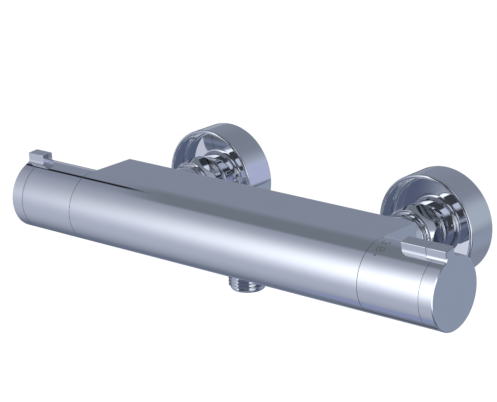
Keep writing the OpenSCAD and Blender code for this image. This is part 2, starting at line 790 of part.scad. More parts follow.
module thermostat_shuttle() {
    r = thermo_bore_r - run_gap;
    color(white_plastic) at_right_end() {
        ring_x(r, r - shuttle_wall, shuttle_start, shuttle_end);
        difference() {
            rod_x(r - shuttle_wall / 2, web_start, web_end);
            rod_x(wax_stem_d / 2 + seat_gap, web_start - over, web_end + over);
            for (i = [0 : shuttle_holes - 1]) rotate([360 * i / shuttle_holes, 0, 0])
                translate([0, 0, (wax_stem_d / 2 + r - shuttle_wall) / 2])
                    rod_x(shuttle_hole_d / 2, web_start - over, web_end + over);
        }
    }
}

module return_spring() {
    color(spring_steel) at_right_end() translate([return_start, 0, 0]) rotate([0, 90, 0])
        coil(return_r, return_wire_r, return_len, return_turns);
}

module spring_retainer() {
    color(bare_brass) at_right_end()
        ring_x(thermo_bore_r - seat_gap, retainer_bore_d / 2, thermo_end, thermo_end + retainer_t);
}

// Stop ring: the lug that stops the button's catch lies just past it on the hot side, in degrees from the tab
stop_disc_t = 2;
stop_hub_wall = 1.1;
lug_wall = 2;
lug_reach = 6;
lug_from = 9;
lug_to = 25;

module stop_ring() {
    r_hub = guide_d / 2 + cartridge_gap;
    r_out = sleeve_r_in - move_gap;
    color(white_plastic) at_right_end() {
        ring_x(r_out, r_hub, seam_gap, seam_gap + stop_disc_t);
        ring_x(r_hub + stop_hub_wall, r_hub, seam_gap, guide_out - seam_gap);
        intersection() {
            ring_x(r_out, r_out - lug_wall, seam_gap + stop_disc_t - seat_gap, seam_gap + stop_disc_t + lug_reach);
            rotate([temperature_tilt, 0, 0]) across_bar(0, sleeve_len)
                polygon([[0, 0], for (a = [lug_from, lug_to]) [-bar_d * sin(a), bar_d * cos(a)]]);
        }
    }
}

// Headwork: stations are measured outwards from the body's left end

// Housing: its inner end, its wall, its bore, the inner face of its head and the hexagon outside the body
headwork_end_depth = 48;
headwork_wall = 2.8;
headwork_bore_d = headwork_d - 2 * headwork_wall;
headwork_head_depth = 16;
hexagon_len = 5;
headwork_end = -headwork_end_depth;
headwork_head = -headwork_head_depth;
mixed_window = -mixed_port_depth;
// Ceramic discs: thickness, and how far their openings reach from the centre and to each side
disc_t = 2.6;
opening_shares = [0.38, 0.88];
opening_half_angle = 40;
fixed_disc_start = headwork_end + seat_gap;
moving_disc_start = fixed_disc_start + disc_t + seat_gap;
// Spindle's foot, which drives the moving disc, and the neck that lets water past
foot_t = 2.2;
foot_neck_d = 6;
foot_neck_len = 7.4;
foot_start = moving_disc_start + disc_t + seat_gap;
foot_end = foot_start + foot_t;
// Bore of the seal between the fixed disc and the bore's floor, and its lip under the disc
disc_seal_lip = 0.9;
disc_seal_d = headwork_bore_d - 2 * disc_seal_lip;

module headwork_housing() {
    color(bare_brass) at_left_end() difference() {
        union() {
            rod_x(headwork_d / 2 - cartridge_gap, headwork_end, 0);
            rod_x(headwork_thread_d / 2 - cartridge_gap, -headwork_thread_depth + seat_gap, seam_gap + over);
            translate([seam_gap, 0, 0]) rotate([0, 90, 0])
                cylinder(r = headwork_af / sqrt(3), h = hexagon_len, $fn = 6);
            rod_x(guide_d / 2, 0, guide_out);
        }
        rod_x(headwork_bore_d / 2, headwork_end - over, headwork_head);
        rod_x(spindle_d / 2 + run_gap, headwork_head - over, guide_out + over);
        windows(mixed_window, headwork_bore_d / 2, 45);
        for (depth = headwork_ring_depths) o_groove(headwork_d / 2, -depth);
    }
}

module headwork_o_rings() {
    color(black_rubber) at_left_end() for (depth = headwork_ring_depths) o_ring(headwork_d / 2, -depth);
}

// A disc with two opposed openings, which a quarter turn opens and shuts
module ported_disc(r, x0, t, turn) {
    difference() {
        rod_x(r, x0, x0 + t);
        rotate([turn, 0, 0]) across_bar(x0 - over, x0 + t + over) for (side = [0, 180]) rotate(side)
            intersection() {
                difference() {
                    circle(r = r * opening_shares[1]);
                    circle(r = r * opening_shares[0]);
                }
                polygon([[0, 0], for (a = [-opening_half_angle, opening_half_angle])
                    [2 * r * cos(a), 2 * r * sin(a)]]);
            }
    }
}

module fixed_disc() {
    color(dark_ceramic) at_left_end()
        ported_disc(headwork_bore_d / 2 - seat_gap, fixed_disc_start, disc_t, 0);
}

module moving_disc() {
    color(dark_ceramic) at_left_end() rotate([flow_tilt, 0, 0])
        ported_disc(headwork_bore_d / 2 - move_gap, moving_disc_start, disc_t, 90);
}

module disc_seal() {
    color(black_rubber) at_left_end()
        ring_x(headwork_d / 2 - cartridge_gap, disc_seal_d / 2, -headwork_depth + seat_gap, headwork_end - seat_gap);
}

module headwork_spindle() {
    color(bare_brass) at_left_end() rotate([flow_tilt, 0, 0]) {
        spindle_end(foot_end + foot_neck_len);
        ported_disc(headwork_bore_d / 2 - move_gap, foot_start, foot_t, 90);
        rod_x(foot_neck_d / 2, foot_start, foot_end + foot_neck_len + over);
    }
}

module headwork_clip() {
    color(spring_steel) at_left_end() rotate([flow_tilt, 0, 0]) spindle_clip();
}

// Handles: stations are measured outwards from the body's end, the tab standing up along +Z

tab_top = bar_r + tab_rise;
cap_start = sleeve_len + cap_gap;
cap_end = cap_start + cap_t;
cap_peg_d = 10;
cap_peg_len = 4.5;
// Hub: its boss on the spline, its flange in the sleeve and its screw
hub_d = 16;
hub_flange_t = 3;
counterbore_d = 10.4;
screw_d = 4.8;
screw_head_d = 9.2;
screw_head_t = 3.2;
screw_socket_d = 4.6;
screw_socket_depth = 2;
screw_len = 14.5;
// Gap round the button in its slot, and between its outer face and the cap's tab
slot_gap = 0.25;
button_gap = 0.2;

// Outline of the tab with rounded corners at its foot, from the bar's axis up
module tab_outline() {
    reach = bar_r + tab_fillet_r;
    off = tab_w / 2 + tab_fillet_r;
    height = sqrt(reach * reach - off * off);
    translate([-tab_w / 2, 0]) square([tab_w, tab_top]);
    for (side = [-1, 1]) difference() {
        polygon([[0, 0], [0, height], [side * off, height], [side * off * bar_r / reach, height * bar_r / reach]]);
        translate([side * off, height]) circle(r = tab_fillet_r);
    }
}

module handle_sleeve() {
    ring_x(bar_r, sleeve_r_in, seam_gap, sleeve_len);
}

module handle_cap() {
    color(chrome) {
        translate([cap_start, 0, 0]) rotate([0, 90, 0]) rotate_extrude()
            polygon([[0, 0], [bar_r, 0], [bar_r, cap_t - cap_bevel], [bar_r - cap_bevel, cap_t], [0, cap_t]]);
        rod_x(cap_peg_d / 2, cap_start - cap_peg_len, cap_start + over);
        difference() {
            across_bar(cap_end - tab_len, cap_end - cap_bevel) tab_outline();
            rod_x(bar_r + button_gap, 0, cap_start);
        }
        across_bar(cap_end - cap_bevel - over, cap_end) difference() {
            tab_outline();
            circle(r = bar_r - cap_bevel);
        }
    }
}

module handle_hub() {
    difference() {
        union() {
            rod_x(hub_d / 2, spline_start + seat_gap, sleeve_len - seat_gap);
            rod_x(sleeve_r_in - seat_gap, sleeve_len - hub_flange_t, sleeve_len - seat_gap);
        }
        spline(spline_start - over, spline_end + seat_gap, seat_gap);
        rod_x(screw_d / 2 + seat_gap, spline_end, hub_ledge + over);
        rod_x(counterbore_d / 2, hub_ledge, sleeve_len + over);
    }
}

module hub_screw() {
    color(spring_steel) difference() {
        union() {
            rod_x(screw_d / 2, hub_ledge - screw_len, hub_ledge + over);
            rod_x(screw_head_d / 2, hub_ledge + seat_gap, hub_ledge + screw_head_t);
        }
        translate([hub_ledge + screw_head_t - screw_socket_depth, 0, 0]) rotate([0, 90, 0])
            cylinder(d = screw_socket_d, h = screw_socket_depth + over, $fn = 6);
    }
}

// The temperature handle and its safety button

button_end = cap_end - tab_len - button_gap;
button_start = button_end - button_len;
// Flange that holds the button inside the sleeve
flange_end_gap = 1.5;
flange_top = sqrt(pow(sleeve_r_in, 2) - pow(button_flange_w / 2, 2)) - slot_gap;
flange_low = flange_top - button_flange_t;
button_flange_len = sleeve_len - hub_flange_t - button_start - flange_end_gap;
// Catch, which reaches past the stop ring's lug, and its root under the flange
catch_from_ring = 3;
catch_root_len = 3.5;
catch_low = flange_low - move_gap - catch_t;
catch_start = seam_gap + stop_disc_t + catch_from_ring;
button_wire_r = 0.35;
button_spring_r = 2.4;
button_turns = 4;
button_spring_len = flange_low - hub_d / 2 - 2 * seat_gap;

module temperature_sleeve() {
    color(chrome) at_right_end() rotate([temperature_tilt, 0, 0]) difference() {
        handle_sleeve();
        translate([button_start - slot_gap, -tab_w / 2 - slot_gap, 0])
            cube([button_len + button_gap + 2 * slot_gap, tab_w + 2 * slot_gap, bar_d]);
    }
}

module temperature_hub() {
    color(grey_plastic) at_right_end() rotate([temperature_tilt, 0, 0]) handle_hub();
}

module temperature_screw() {
    at_right_end() rotate([temperature_tilt, 0, 0]) hub_screw();
}

module temperature_end_cap() {
    at_right_end() rotate([temperature_tilt, 0, 0]) handle_cap();
}

module safety_button() {
    color(chrome) at_right_end() rotate([temperature_tilt, 0, 0]) {
        translate([button_start, -tab_w / 2, flange_low]) cube([button_flange_len, tab_w, tab_top - flange_low]);
        translate([button_start, -tab_w / 2, bar_r - sleeve_wall / 2])
            cube([button_len, tab_w, tab_rise + sleeve_wall / 2]);
        translate([button_start, -button_flange_w / 2, flange_low])
            cube([button_flange_len, button_flange_w, button_flange_t]);
        translate([catch_start, -catch_w / 2, catch_low])
            cube([button_start - catch_start + catch_root_len, catch_w, catch_t]);
        translate([button_start, -catch_w / 2, catch_low])
            cube([catch_root_len, catch_w, flange_low - catch_low + seat_gap]);
    }
}

module button_spring() {
    middle = button_start + (button_flange_len + catch_root_len) / 2;
    color(spring_steel) at_right_end() rotate([temperature_tilt, 0, 0])
        translate([middle, 0, hub_d / 2 + seat_gap])
            coil(button_spring_r, button_wire_r, button_spring_len, button_turns);
}

// The flow handle

module flow_sleeve() {
    color(chrome) at_left_end() rotate([flow_tilt, 0, 0]) handle_sleeve();
}

module flow_hub() {
    color(grey_plastic) at_left_end() rotate([flow_tilt, 0, 0]) handle_hub();
}

module flow_screw() {
    at_left_end() rotate([flow_tilt, 0, 0]) hub_screw();
}

module flow_end_cap() {
    at_left_end() rotate([flow_tilt, 0, 0]) handle_cap();
}

echo(least_gap_check_spring = coil_gap(check_spring_r, check_wire_r, check_spring_len, check_turns));
echo(least_gap_return_spring = coil_gap(return_r, return_wire_r, return_len, return_turns));
echo(least_gap_overtravel_spring = coil_gap(overtravel_r, overtravel_wire_r, overtravel_len, overtravel_turns));
echo(least_gap_button_spring = coil_gap(button_spring_r, button_wire_r, button_spring_len, button_turns));

valve_body();
outlet_nipple();
outlet_seal();
inlet_tail(-1);  // inlet_tail_hot
inlet_tail(1);  // inlet_tail_cold
union_nut(-1);  // union_nut_hot
union_nut(1);  // union_nut_cold
inlet_washer(-1);  // inlet_washer_hot
inlet_washer(1);  // inlet_washer_cold
inlet_strainer(-1);  // inlet_strainer_hot
inlet_strainer(1);  // inlet_strainer_cold
check_cage(-1);  // check_cage_hot
check_cage(1);  // check_cage_cold
check_poppet(-1);  // check_poppet_hot
check_poppet(1);  // check_poppet_cold
check_spring(-1);  // check_spring_hot
check_spring(1);  // check_spring_cold
wall_union(-1);  // wall_union_hot
wall_union(1);  // wall_union_cold
escutcheon(-1);  // escutcheon_hot
escutcheon(1);  // escutcheon_cold
thermostat_housing();
thermostat_nut();
thermostat_o_rings();
temperature_spindle();
temperature_clip();
thrust_cup();
overtravel_spring();
wax_element();
thermostat_shuttle();
return_spring();
spring_retainer();
stop_ring();
headwork_housing();
headwork_o_rings();
headwork_spindle();
headwork_clip();
moving_disc();
fixed_disc();
disc_seal();
temperature_sleeve();
temperature_hub();
temperature_screw();
temperature_end_cap();
safety_button();
button_spring();
flow_sleeve();
flow_hub();
flow_screw();
flow_end_cap();
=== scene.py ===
import math

import bmesh
import bpy
from mathutils import Matrix, Vector


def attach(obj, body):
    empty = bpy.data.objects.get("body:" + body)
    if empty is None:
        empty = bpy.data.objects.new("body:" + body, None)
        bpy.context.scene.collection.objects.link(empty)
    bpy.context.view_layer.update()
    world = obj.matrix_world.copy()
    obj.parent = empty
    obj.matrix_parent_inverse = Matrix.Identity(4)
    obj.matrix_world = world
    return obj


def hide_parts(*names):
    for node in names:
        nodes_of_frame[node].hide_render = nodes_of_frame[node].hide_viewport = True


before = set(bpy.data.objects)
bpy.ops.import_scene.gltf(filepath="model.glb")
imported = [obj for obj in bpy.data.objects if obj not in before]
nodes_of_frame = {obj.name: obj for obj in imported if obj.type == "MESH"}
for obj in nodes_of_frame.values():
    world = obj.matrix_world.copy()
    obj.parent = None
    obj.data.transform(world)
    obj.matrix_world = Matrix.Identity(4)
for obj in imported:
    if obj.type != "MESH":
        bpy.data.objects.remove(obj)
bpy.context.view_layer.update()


# Camera
# A long lens on a stand in front of the right end of the valve and a little above it, as a catalogue
# photographer sets it up. Its place and turn come from the ellipses of the two escutcheons and the bar.
mm = 0.001
camera_place = Vector((657.2, -861.6, 343.2)) * mm
camera_azimuth = math.radians(40.054)
camera_height = math.radians(17.867)
camera_roll = math.radians(-1.424)
back = Vector((math.sin(camera_azimuth) * math.cos(camera_height),
               -math.cos(camera_azimuth) * math.cos(camera_height), math.sin(camera_height)))
level_right = (-back).cross(Vector((0, 0, 1))).normalized()
level_up = back.cross(level_right)
lens_right = level_right * math.cos(camera_roll) + level_up * math.sin(camera_roll)
lens_up = level_up * math.cos(camera_roll) - level_right * math.sin(camera_roll)
camera_data = bpy.data.cameras.new("stand_camera")
camera_data.lens = 147.0
camera_data.sensor_width = 36.0
camera_data.sensor_fit = "HORIZONTAL"
camera_data.shift_x = 0.0115
camera_data.shift_y = 0.0127
camera_data.clip_end = 60.0
camera = bpy.data.objects.new("stand_camera", camera_data)
camera.matrix_world = Matrix((
    (lens_right.x, lens_up.x, back.x, camera_place.x),
    (lens_right.y, lens_up.y, back.y, camera_place.y),
    (lens_right.z, lens_up.z, back.z, camera_place.z),
    (0, 0, 0, 1)))
bpy.context.collection.objects.link(camera)
bpy.context.scene.camera = camera
bpy.context.scene.view_settings.view_transform = "Standard"


# Studio
# Chrome shows the room, so the room is built from soft panels hung round the bar's axis. Each lies between
# two angles round that axis, counted in degrees from straight back over the top, and between two places
# along it, counted from -1 at the far left to 1 at the far right; each fades over its soft edges.
COOL = (0.94, 1.0, 1.23)
STONE = (0.88, 1.0, 1.19)
WHITE = (0.97, 1.0, 1.05)
MIST = (0.90, 1.0, 1.28)
LAVENDER = (0.87, 1.0, 1.62)
DUSK = (0.935, 1.0, 1.43)
SLATE = (0.83, 1.0, 1.60)
FOG = (0.86, 1.0, 1.42)
HAZE = (0.86, 1.0, 1.3)
EVERYWHERE = 1.5
lowest_angle = -50.0
room_light = 0.268
# Each row: name, light, tint, (from, to) round the axis, half the width of their soft edges, (left, right)
# along it, half the width of their soft edges. A panel hides what the rows above it show.
panels = [
    ("front_wall", 0.39, COOL, (98, 250), (21, 40), (-EVERYWHERE, EVERYWHERE), (0.1, 0.1)),
    ("key_glow", 0.49, COOL, (165, 249), (15, 36), (-EVERYWHERE, EVERYWHERE), (0.1, 0.1)),
    ("key_softbox", 2.3, WHITE, (147, 183), (40, 40), (-0.60, -0.44), (0.19, 0.03)),
    ("ceiling", 0.198, STONE, (45, 97), (18, 6), (-0.652, EVERYWHERE), (0.012, 0.1)),
    ("black_flag", 0.012, COOL, (63.5, 72), (2, 2), (-EVERYWHERE, -0.653), (0.1, 0.006)),
    ("table_edge", 0.175, FOG, (282, 325), (16, 3), (-EVERYWHERE, EVERYWHERE), (0.1, 0.1)),
    ("far_floor", 0.25, FOG, (-57, -30), (4, 5), (-EVERYWHERE, -0.545), (0.1, 0.015)),
    ("far_corner", 0.135, FOG, (-60, -30), (6, 5), (-EVERYWHERE, -0.655), (0.1, 0.015)),
    ("table_slot", 0.09, COOL, (293, 303), (4, 4), (-0.562, -0.45), (0.012, 0.02)),
    ("table_cloth", 0.30, LAVENDER, (258, 277), (8, 6), (-0.582, -0.45), (0.02, 0.02)),
    ("dark_floor", 0.13, SLATE, (-30, -5), (5, 6), (-0.605, -0.46), (0.02, 0.04)),
    ("grey_floor", 0.165, STONE, (-34, -5), (6, 6), (-EVERYWHERE, -0.605), (0.1, 0.02)),
    ("near_floor", 0.45, COOL, (-34, -10), (6, 6), (-0.538, -0.50), (0.008, 0.02)),
    ("backdrop", 0.42, COOL, (-3, 14), (5, 6), (-EVERYWHERE, -0.62), (0.1, 0.03)),
    ("white_paper", 0.45, WHITE, (-25, 5), (6, 6), (-0.46, -0.15), (0.04, 0.05)),
    ("dark_room", 0.055, COOL, (112, 200), (8, 10), (-0.46, 0.66), (0.03, 0.03)),
    ("dim_room", 0.14, SLATE, (200, 262), (10, 10), (-0.46, 0.66), (0.03, 0.03)),
    ("small_softbox", 0.65, COOL, (118, 150), (4, 4), (0.12, 0.52), (0.03, 0.03)),
    ("side_window", 1.25, WHITE, (118, 232), (8, 6), (0.70, EVERYWHERE), (0.02, 0.1)),
    ("side_wall", 0.46, STONE, (-12, 32), (12, 12), (0.42, EVERYWHERE), (0.16, 0.1)),
    ("side_floor", 0.33, HAZE, (-50, -17), (1, 6), (0.30, EVERYWHERE), (0.12, 0.1)),
    ("side_curtain", 0.47, DUSK, (-16, 14), (4, 3), (0.63, EVERYWHERE), (0.012, 0.1)),
    ("side_valance", 0.47, DUSK, (13, 32), (3, 5), (0.59, EVERYWHERE), (0.02, 0.1)),
    ("side_shade", 0.10, SLATE, (-50, -18), (1, 3), (0.62, EVERYWHERE), (0.012, 0.1)),
    ("dark_corner", 0.065, SLATE, (262, 309), (8, 1), (0.38, EVERYWHERE), (0.04, 0.1)),
]


def maths(tree, operation):
    node = tree.nodes.new("ShaderNodeMath")
    node.operation = operation
    return node


def panel_group():
    """A soft-edged panel: where it hangs, its light takes the place of the light behind it."""
    group = bpy.data.node_groups.new("studio_panel", "ShaderNodeTree")
    for name in ("Round", "Along", "From", "From Soft", "To", "To Soft", "Left", "Left Soft", "Right",
                 "Right Soft"):
        group.interface.new_socket(name, in_out="INPUT", socket_type="NodeSocketFloat")
    for name in ("Behind", "Light"):
        group.interface.new_socket(name, in_out="INPUT", socket_type="NodeSocketColor")
    group.interface.new_socket("Light", in_out="OUTPUT", socket_type="NodeSocketColor")
    entry = group.nodes.new("NodeGroupInput")
    exit_ = group.nodes.new("NodeGroupOutput")
    cover = None
    edges = (("Round", "From", False), ("Round", "To", True),
             ("Along", "Left", False), ("Along", "Right", True))
    for place, edge, turns_off in edges:
        low = maths(group, "SUBTRACT")
        high = maths(group, "ADD")
        for end in (low, high):
            group.links.new(entry.outputs[edge], end.inputs[0])
            group.links.new(entry.outputs[edge + " Soft"], end.inputs[1])
        fade = group.nodes.new("ShaderNodeMapRange")
        fade.interpolation_type = "SMOOTHSTEP"
        fade.inputs["To Min"].default_value = 1.0 if turns_off else 0.0
        fade.inputs["To Max"].default_value = 0.0 if turns_off else 1.0
        group.links.new(entry.outputs[place], fade.inputs["Value"])
        group.links.new(low.outputs[0], fade.inputs["From Min"])
        group.links.new(high.outputs[0], fade.inputs["From Max"])
        if cover is None:
            cover = fade.outputs[0]
        else:
            both = maths(group, "MULTIPLY")
            group.links.new(cover, both.inputs[0])
            group.links.new(fade.outputs[0], both.inputs[1])
            cover = both.outputs[0]
    blend = group.nodes.new("ShaderNodeMix")
    blend.data_type = "RGBA"
    group.links.new(cover, blend.inputs["Factor"])
    group.links.new(entry.outputs["Behind"], blend.inputs[6])
    group.links.new(entry.outputs["Light"], blend.inputs[7])
    group.links.new(blend.outputs[2], exit_.inputs["Light"])
    return group


def tinted(light, tint):
    """A colour for a node, of the given light and tint."""
    return tuple(light * share for share in tint) + (1.0,)


studio_panel = panel_group()
world = bpy.data.worlds.new("panel_studio")
bpy.context.scene.world = world
world.use_nodes = True
sky = world.node_tree
sky.nodes.clear()
direction = sky.nodes.new("ShaderNodeTexCoord")
parts = sky.nodes.new("ShaderNodeSeparateXYZ")
sky.links.new(direction.outputs["Generated"], parts.inputs[0])
turn = maths(sky, "ARCTAN2")
sky.links.new(parts.outputs["Z"], turn.inputs[0])
sky.links.new(parts.outputs["Y"], turn.inputs[1])
degrees_round = maths(sky, "DEGREES")
sky.links.new(turn.outputs[0], degrees_round.inputs[0])
round_axis = maths(sky, "WRAP")
round_axis.inputs[1].default_value = lowest_angle + 360.0
round_axis.inputs[2].default_value = lowest_angle
sky.links.new(degrees_round.outputs[0], round_axis.inputs[0])
room = sky.nodes.new("ShaderNodeRGB")
room.outputs[0].default_value = tinted(room_light, MIST)
room_seen = room.outputs[0]
for name, light, tint, angles, angle_softs, places, place_softs in panels:
    panel = sky.nodes.new("ShaderNodeGroup")
    panel.name = name
    panel.node_tree = studio_panel
    panel.inputs["Light"].default_value = tinted(light, tint)
    for sockets, values in ((("From", "To"), angles), (("From Soft", "To Soft"), angle_softs),
                            (("Left", "Right"), places), (("Left Soft", "Right Soft"), place_softs)):
        for socket, value in zip(sockets, values):
            panel.inputs[socket].default_value = value
    sky.links.new(round_axis.outputs[0], panel.inputs["Round"])
    sky.links.new(parts.outputs["X"], panel.inputs["Along"])
    sky.links.new(room_seen, panel.inputs["Behind"])
    room_seen = panel.outputs[0]
paper = sky.nodes.new("ShaderNodeBackground")
paper.inputs["Color"].default_value = (1, 1, 1, 1)
reflected_room = sky.nodes.new("ShaderNodeBackground")
sky.links.new(room_seen, reflected_room.inputs["Color"])
fill = sky.nodes.new("ShaderNodeBackground")
fill.inputs["Color"].default_value = (1, 1, 1, 1)
light_path = sky.nodes.new("ShaderNodeLightPath")
mirror_ray = maths(sky, "MAXIMUM")
sky.links.new(light_path.outputs["Is Glossy Ray"], mirror_ray.inputs[0])
sky.links.new(light_path.outputs["Is Transmission Ray"], mirror_ray.inputs[1])
fill_or_room = sky.nodes.new("ShaderNodeMixShader")
sky.links.new(mirror_ray.outputs[0], fill_or_room.inputs[0])
sky.links.new(fill.outputs[0], fill_or_room.inputs[1])
sky.links.new(reflected_room.outputs[0], fill_or_room.inputs[2])
with_paper = sky.nodes.new("ShaderNodeMixShader")
sky.links.new(light_path.outputs["Is Camera Ray"], with_paper.inputs[0])
sky.links.new(fill_or_room.outputs[0], with_paper.inputs[1])
sky.links.new(paper.outputs[0], with_paper.inputs[2])
world_out = sky.nodes.new("ShaderNodeOutputWorld")
sky.links.new(with_paper.outputs[0], world_out.inputs["Surface"])

# A wide soft lamp above and in front gives matt pieces their shading and the floor its shadow
lamp_data = bpy.data.lights.new("overhead_softbox", "AREA")
lamp_data.shape = "RECTANGLE"
lamp_data.size = 1.6
lamp_data.size_y = 1.0
lamp_data.energy = 9.0
overhead_lamp = bpy.data.objects.new("overhead_softbox", lamp_data)
lamp_place = Vector((-0.3, -1.1, 1.5))
lamp_aim = Vector((0, -0.05, 0))
overhead_lamp.location = lamp_place
overhead_lamp.rotation_euler = (lamp_aim - lamp_place).to_track_quat("-Z", "Y").to_euler()
overhead_lamp.visible_glossy = False
overhead_lamp.visible_camera = False
bpy.context.collection.objects.link(overhead_lamp)

# The pale floor lies well below the valve, which hangs on a wall in use
floor_level = -0.62
floor_half = 14.0
floor_mesh = bpy.data.meshes.new("studio_floor")
floor_mesh.from_pydata([(-floor_half, -floor_half, floor_level), (floor_half, -floor_half, floor_level),
                        (floor_half, floor_half, floor_level), (-floor_half, floor_half, floor_level)],
                       [], [(0, 1, 2, 3)])
floor = bpy.data.objects.new("studio_floor", floor_mesh)
bpy.context.collection.objects.link(floor)
floor_paper = bpy.data.materials.new("floor_paper")
floor_paper.use_nodes = True
floor_nodes = floor_paper.node_tree.nodes
floor_shader = floor_nodes["Principled BSDF"]
floor_shader.inputs["Roughness"].default_value = 1.0
floor_shader.inputs["Specular IOR Level"].default_value = 0.0
paper_fibre = floor_nodes.new("ShaderNodeTexNoise")
paper_fibre.inputs["Scale"].default_value = 60.0
paper_tone = floor_nodes.new("ShaderNodeMapRange")
paper_tone.inputs["To Min"].default_value = 0.985
paper_tone.inputs["To Max"].default_value = 1.0
floor_paper.node_tree.links.new(paper_fibre.outputs["Fac"], paper_tone.inputs["Value"])
floor_paper.node_tree.links.new(paper_tone.outputs[0], floor_shader.inputs["Base Color"])
floor_mesh.materials.append(floor_paper)
floor.visible_glossy = False


# Valve body
# A brass casting, ground and polished, then plated with chrome. The round front runs into a flat deck
# behind, where two necks carry the inlets; both ends are bored out for the cartridges.
bar_r = 19.5
bar_axis_y = -92.0
body_end = 98.0
deck_back = 31.6
deck_edge_r = 1.2
neck_r = 13.2
neck_end = 53.2
neck_foot_r = 1.0
inlet_x = 75.0
outlet_back = 15.0


def polish_group():
    """Polished plating: slight waves left by the polishing wheel, and a faint film on the metal."""
    group = bpy.data.node_groups.new("polishing_marks", "ShaderNodeTree")
    for name in ("Wave Size", "Film Size"):
        socket = group.interface.new_socket(name, in_out="INPUT", socket_type="NodeSocketFloat")
        socket.min_value = 0.0
        socket.max_value = 1000.0
    group.interface.new_socket("Wave", in_out="OUTPUT", socket_type="NodeSocketFloat")
    group.interface.new_socket("Film", in_out="OUTPUT", socket_type="NodeSocketFloat")
    entry = group.nodes.new("NodeGroupInput")
    exit_ = group.nodes.new("NodeGroupOutput")
    place = group.nodes.new("ShaderNodeTexCoord")
    wave = group.nodes.new("ShaderNodeTexNoise")
    wave.inputs["Detail"].default_value = 1.0
    film = group.nodes.new("ShaderNodeTexNoise")
    film.inputs["Detail"].default_value = 5.0
    film.inputs["Roughness"].default_value = 0.6
    clear = group.nodes.new("ShaderNodeMapRange")
    clear.inputs["From Min"].default_value = 0.45
    clear.inputs["From Max"].default_value = 0.75
    group.links.new(place.outputs["Object"], wave.inputs["Vector"])
    group.links.new(place.outputs["Object"], film.inputs["Vector"])
    group.links.new(entry.outputs["Wave Size"], wave.inputs["Scale"])
    group.links.new(entry.outputs["Film Size"], film.inputs["Scale"])
    group.links.new(film.outputs["Fac"], clear.inputs["Value"])
    group.links.new(wave.outputs["Fac"], exit_.inputs["Wave"])
    group.links.new(clear.outputs[0], exit_.inputs["Film"])
    return group


polishing_marks = polish_group()


def new_finish(name, metallic, roughness):
    """A material with an empty Principled shader, and its nodes and links to fill in."""
    finish = bpy.data.materials.new(name)
    finish.use_nodes = True
    shader = finish.node_tree.nodes["Principled BSDF"]
    shader.inputs["Metallic"].default_value = metallic
    shader.inputs["Roughness"].default_value = roughness
    return finish, shader, finish.node_tree.nodes, finish.node_tree.links


def two_tones(tree_nodes, links, mask, shader, first, second):
    """The shader's colour goes from one tone to the other where the mask rises."""
    tones = tree_nodes.new("ShaderNodeMix")
    tones.data_type = "RGBA"
    tones.inputs[6].default_value = first + (1.0,)
    tones.inputs[7].default_value = second + (1.0,)
    links.new(mask, tones.inputs["Factor"])
    links.new(tones.outputs[2], shader.inputs["Base Color"])


def rough_between(tree_nodes, links, mask, shader, low, high):
    """The shader's roughness goes from low to high where the mask rises."""
    span = tree_nodes.new("ShaderNodeMapRange")
    span.inputs["To Min"].default_value = low
    span.inputs["To Max"].default_value = high
    links.new(mask, span.inputs["Value"])
    links.new(span.outputs[0], shader.inputs["Roughness"])


def dented(tree_nodes, links, height, shader, strength, depth):
    """The surface rises and falls with the height, by depth in metres."""
    bump = tree_nodes.new("ShaderNodeBump")
    bump.inputs["Strength"].default_value = strength
    bump.inputs["Distance"].default_value = depth
    links.new(height, bump.inputs["Height"])
    links.new(bump.outputs[0], shader.inputs["Normal"])


def polished_chrome():
    finish, shader, tree_nodes, links = new_finish("polished_chrome", 1.0, 0.03)
    marks = tree_nodes.new("ShaderNodeGroup")
    marks.node_tree = polishing_marks
    marks.inputs["Wave Size"].default_value = 35.0
    marks.inputs["Film Size"].default_value = 70.0
    two_tones(tree_nodes, links, marks.outputs["Film"], shader, (0.85, 0.865, 0.885), (0.83, 0.845, 0.87))
    rough_between(tree_nodes, links, marks.outputs["Film"], shader, 0.018, 0.05)
    dented(tree_nodes, links, marks.outputs["Wave"], shader, 0.05, 0.00004)
    return finish


chrome = polished_chrome()


def skin(mesh, first, second):
    """Faces between two loops with equally many vertices."""
    count = len(first)
    for i in range(count):
        j = (i + 1) % count
        mesh.faces.new((first[i], first[j], second[j], second[i]))


def closed_mesh(loops, joined=False):
    """A mesh from loops with equally many points, in millimetres: joined end to end, or with flat ends."""
    mesh = bmesh.new()
    rings = [[mesh.verts.new(Vector(point) * mm) for point in loop] for loop in loops]
    for first, second in zip(rings, rings[1:]):
        skin(mesh, first, second)
    if joined:
        skin(mesh, rings[-1], rings[0])
    else:
        mesh.faces.new(list(reversed(rings[0])))
        mesh.faces.new(rings[-1])
    return mesh, rings


def made(name, mesh):
    """An object with a smooth mesh whose faces all point outwards."""
    bmesh.ops.recalc_face_normals(mesh, faces=mesh.faces)
    data = bpy.data.meshes.new(name)
    mesh.to_mesh(data)
    mesh.free()
    data.shade_smooth()
    piece = bpy.data.objects.new(name, data)
    bpy.context.collection.objects.link(piece)
    return piece


def eased(piece, width, steps=3, least=30.0):
    """Breaks the sharp edges, as polishing does, and keeps the flat faces flat in the mirror."""
    edges = piece.modifiers.new("broken_edges", "BEVEL")
    edges.width = width * mm
    edges.segments = steps
    edges.limit_method = "ANGLE"
    edges.angle_limit = math.radians(least)
    edges.use_clamp_overlap = True
    flats = piece.modifiers.new("true_flats", "WEIGHTED_NORMAL")
    flats.weight = 50
    flats.keep_sharp = False


def fitted(piece, finish, slot, body, *nodes):
    """Gives the piece its finish and its body, and lets it stand for the CAD nodes."""
    piece.data.materials.append(finish)
    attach(piece, body)
    if nodes:
        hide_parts(*nodes)


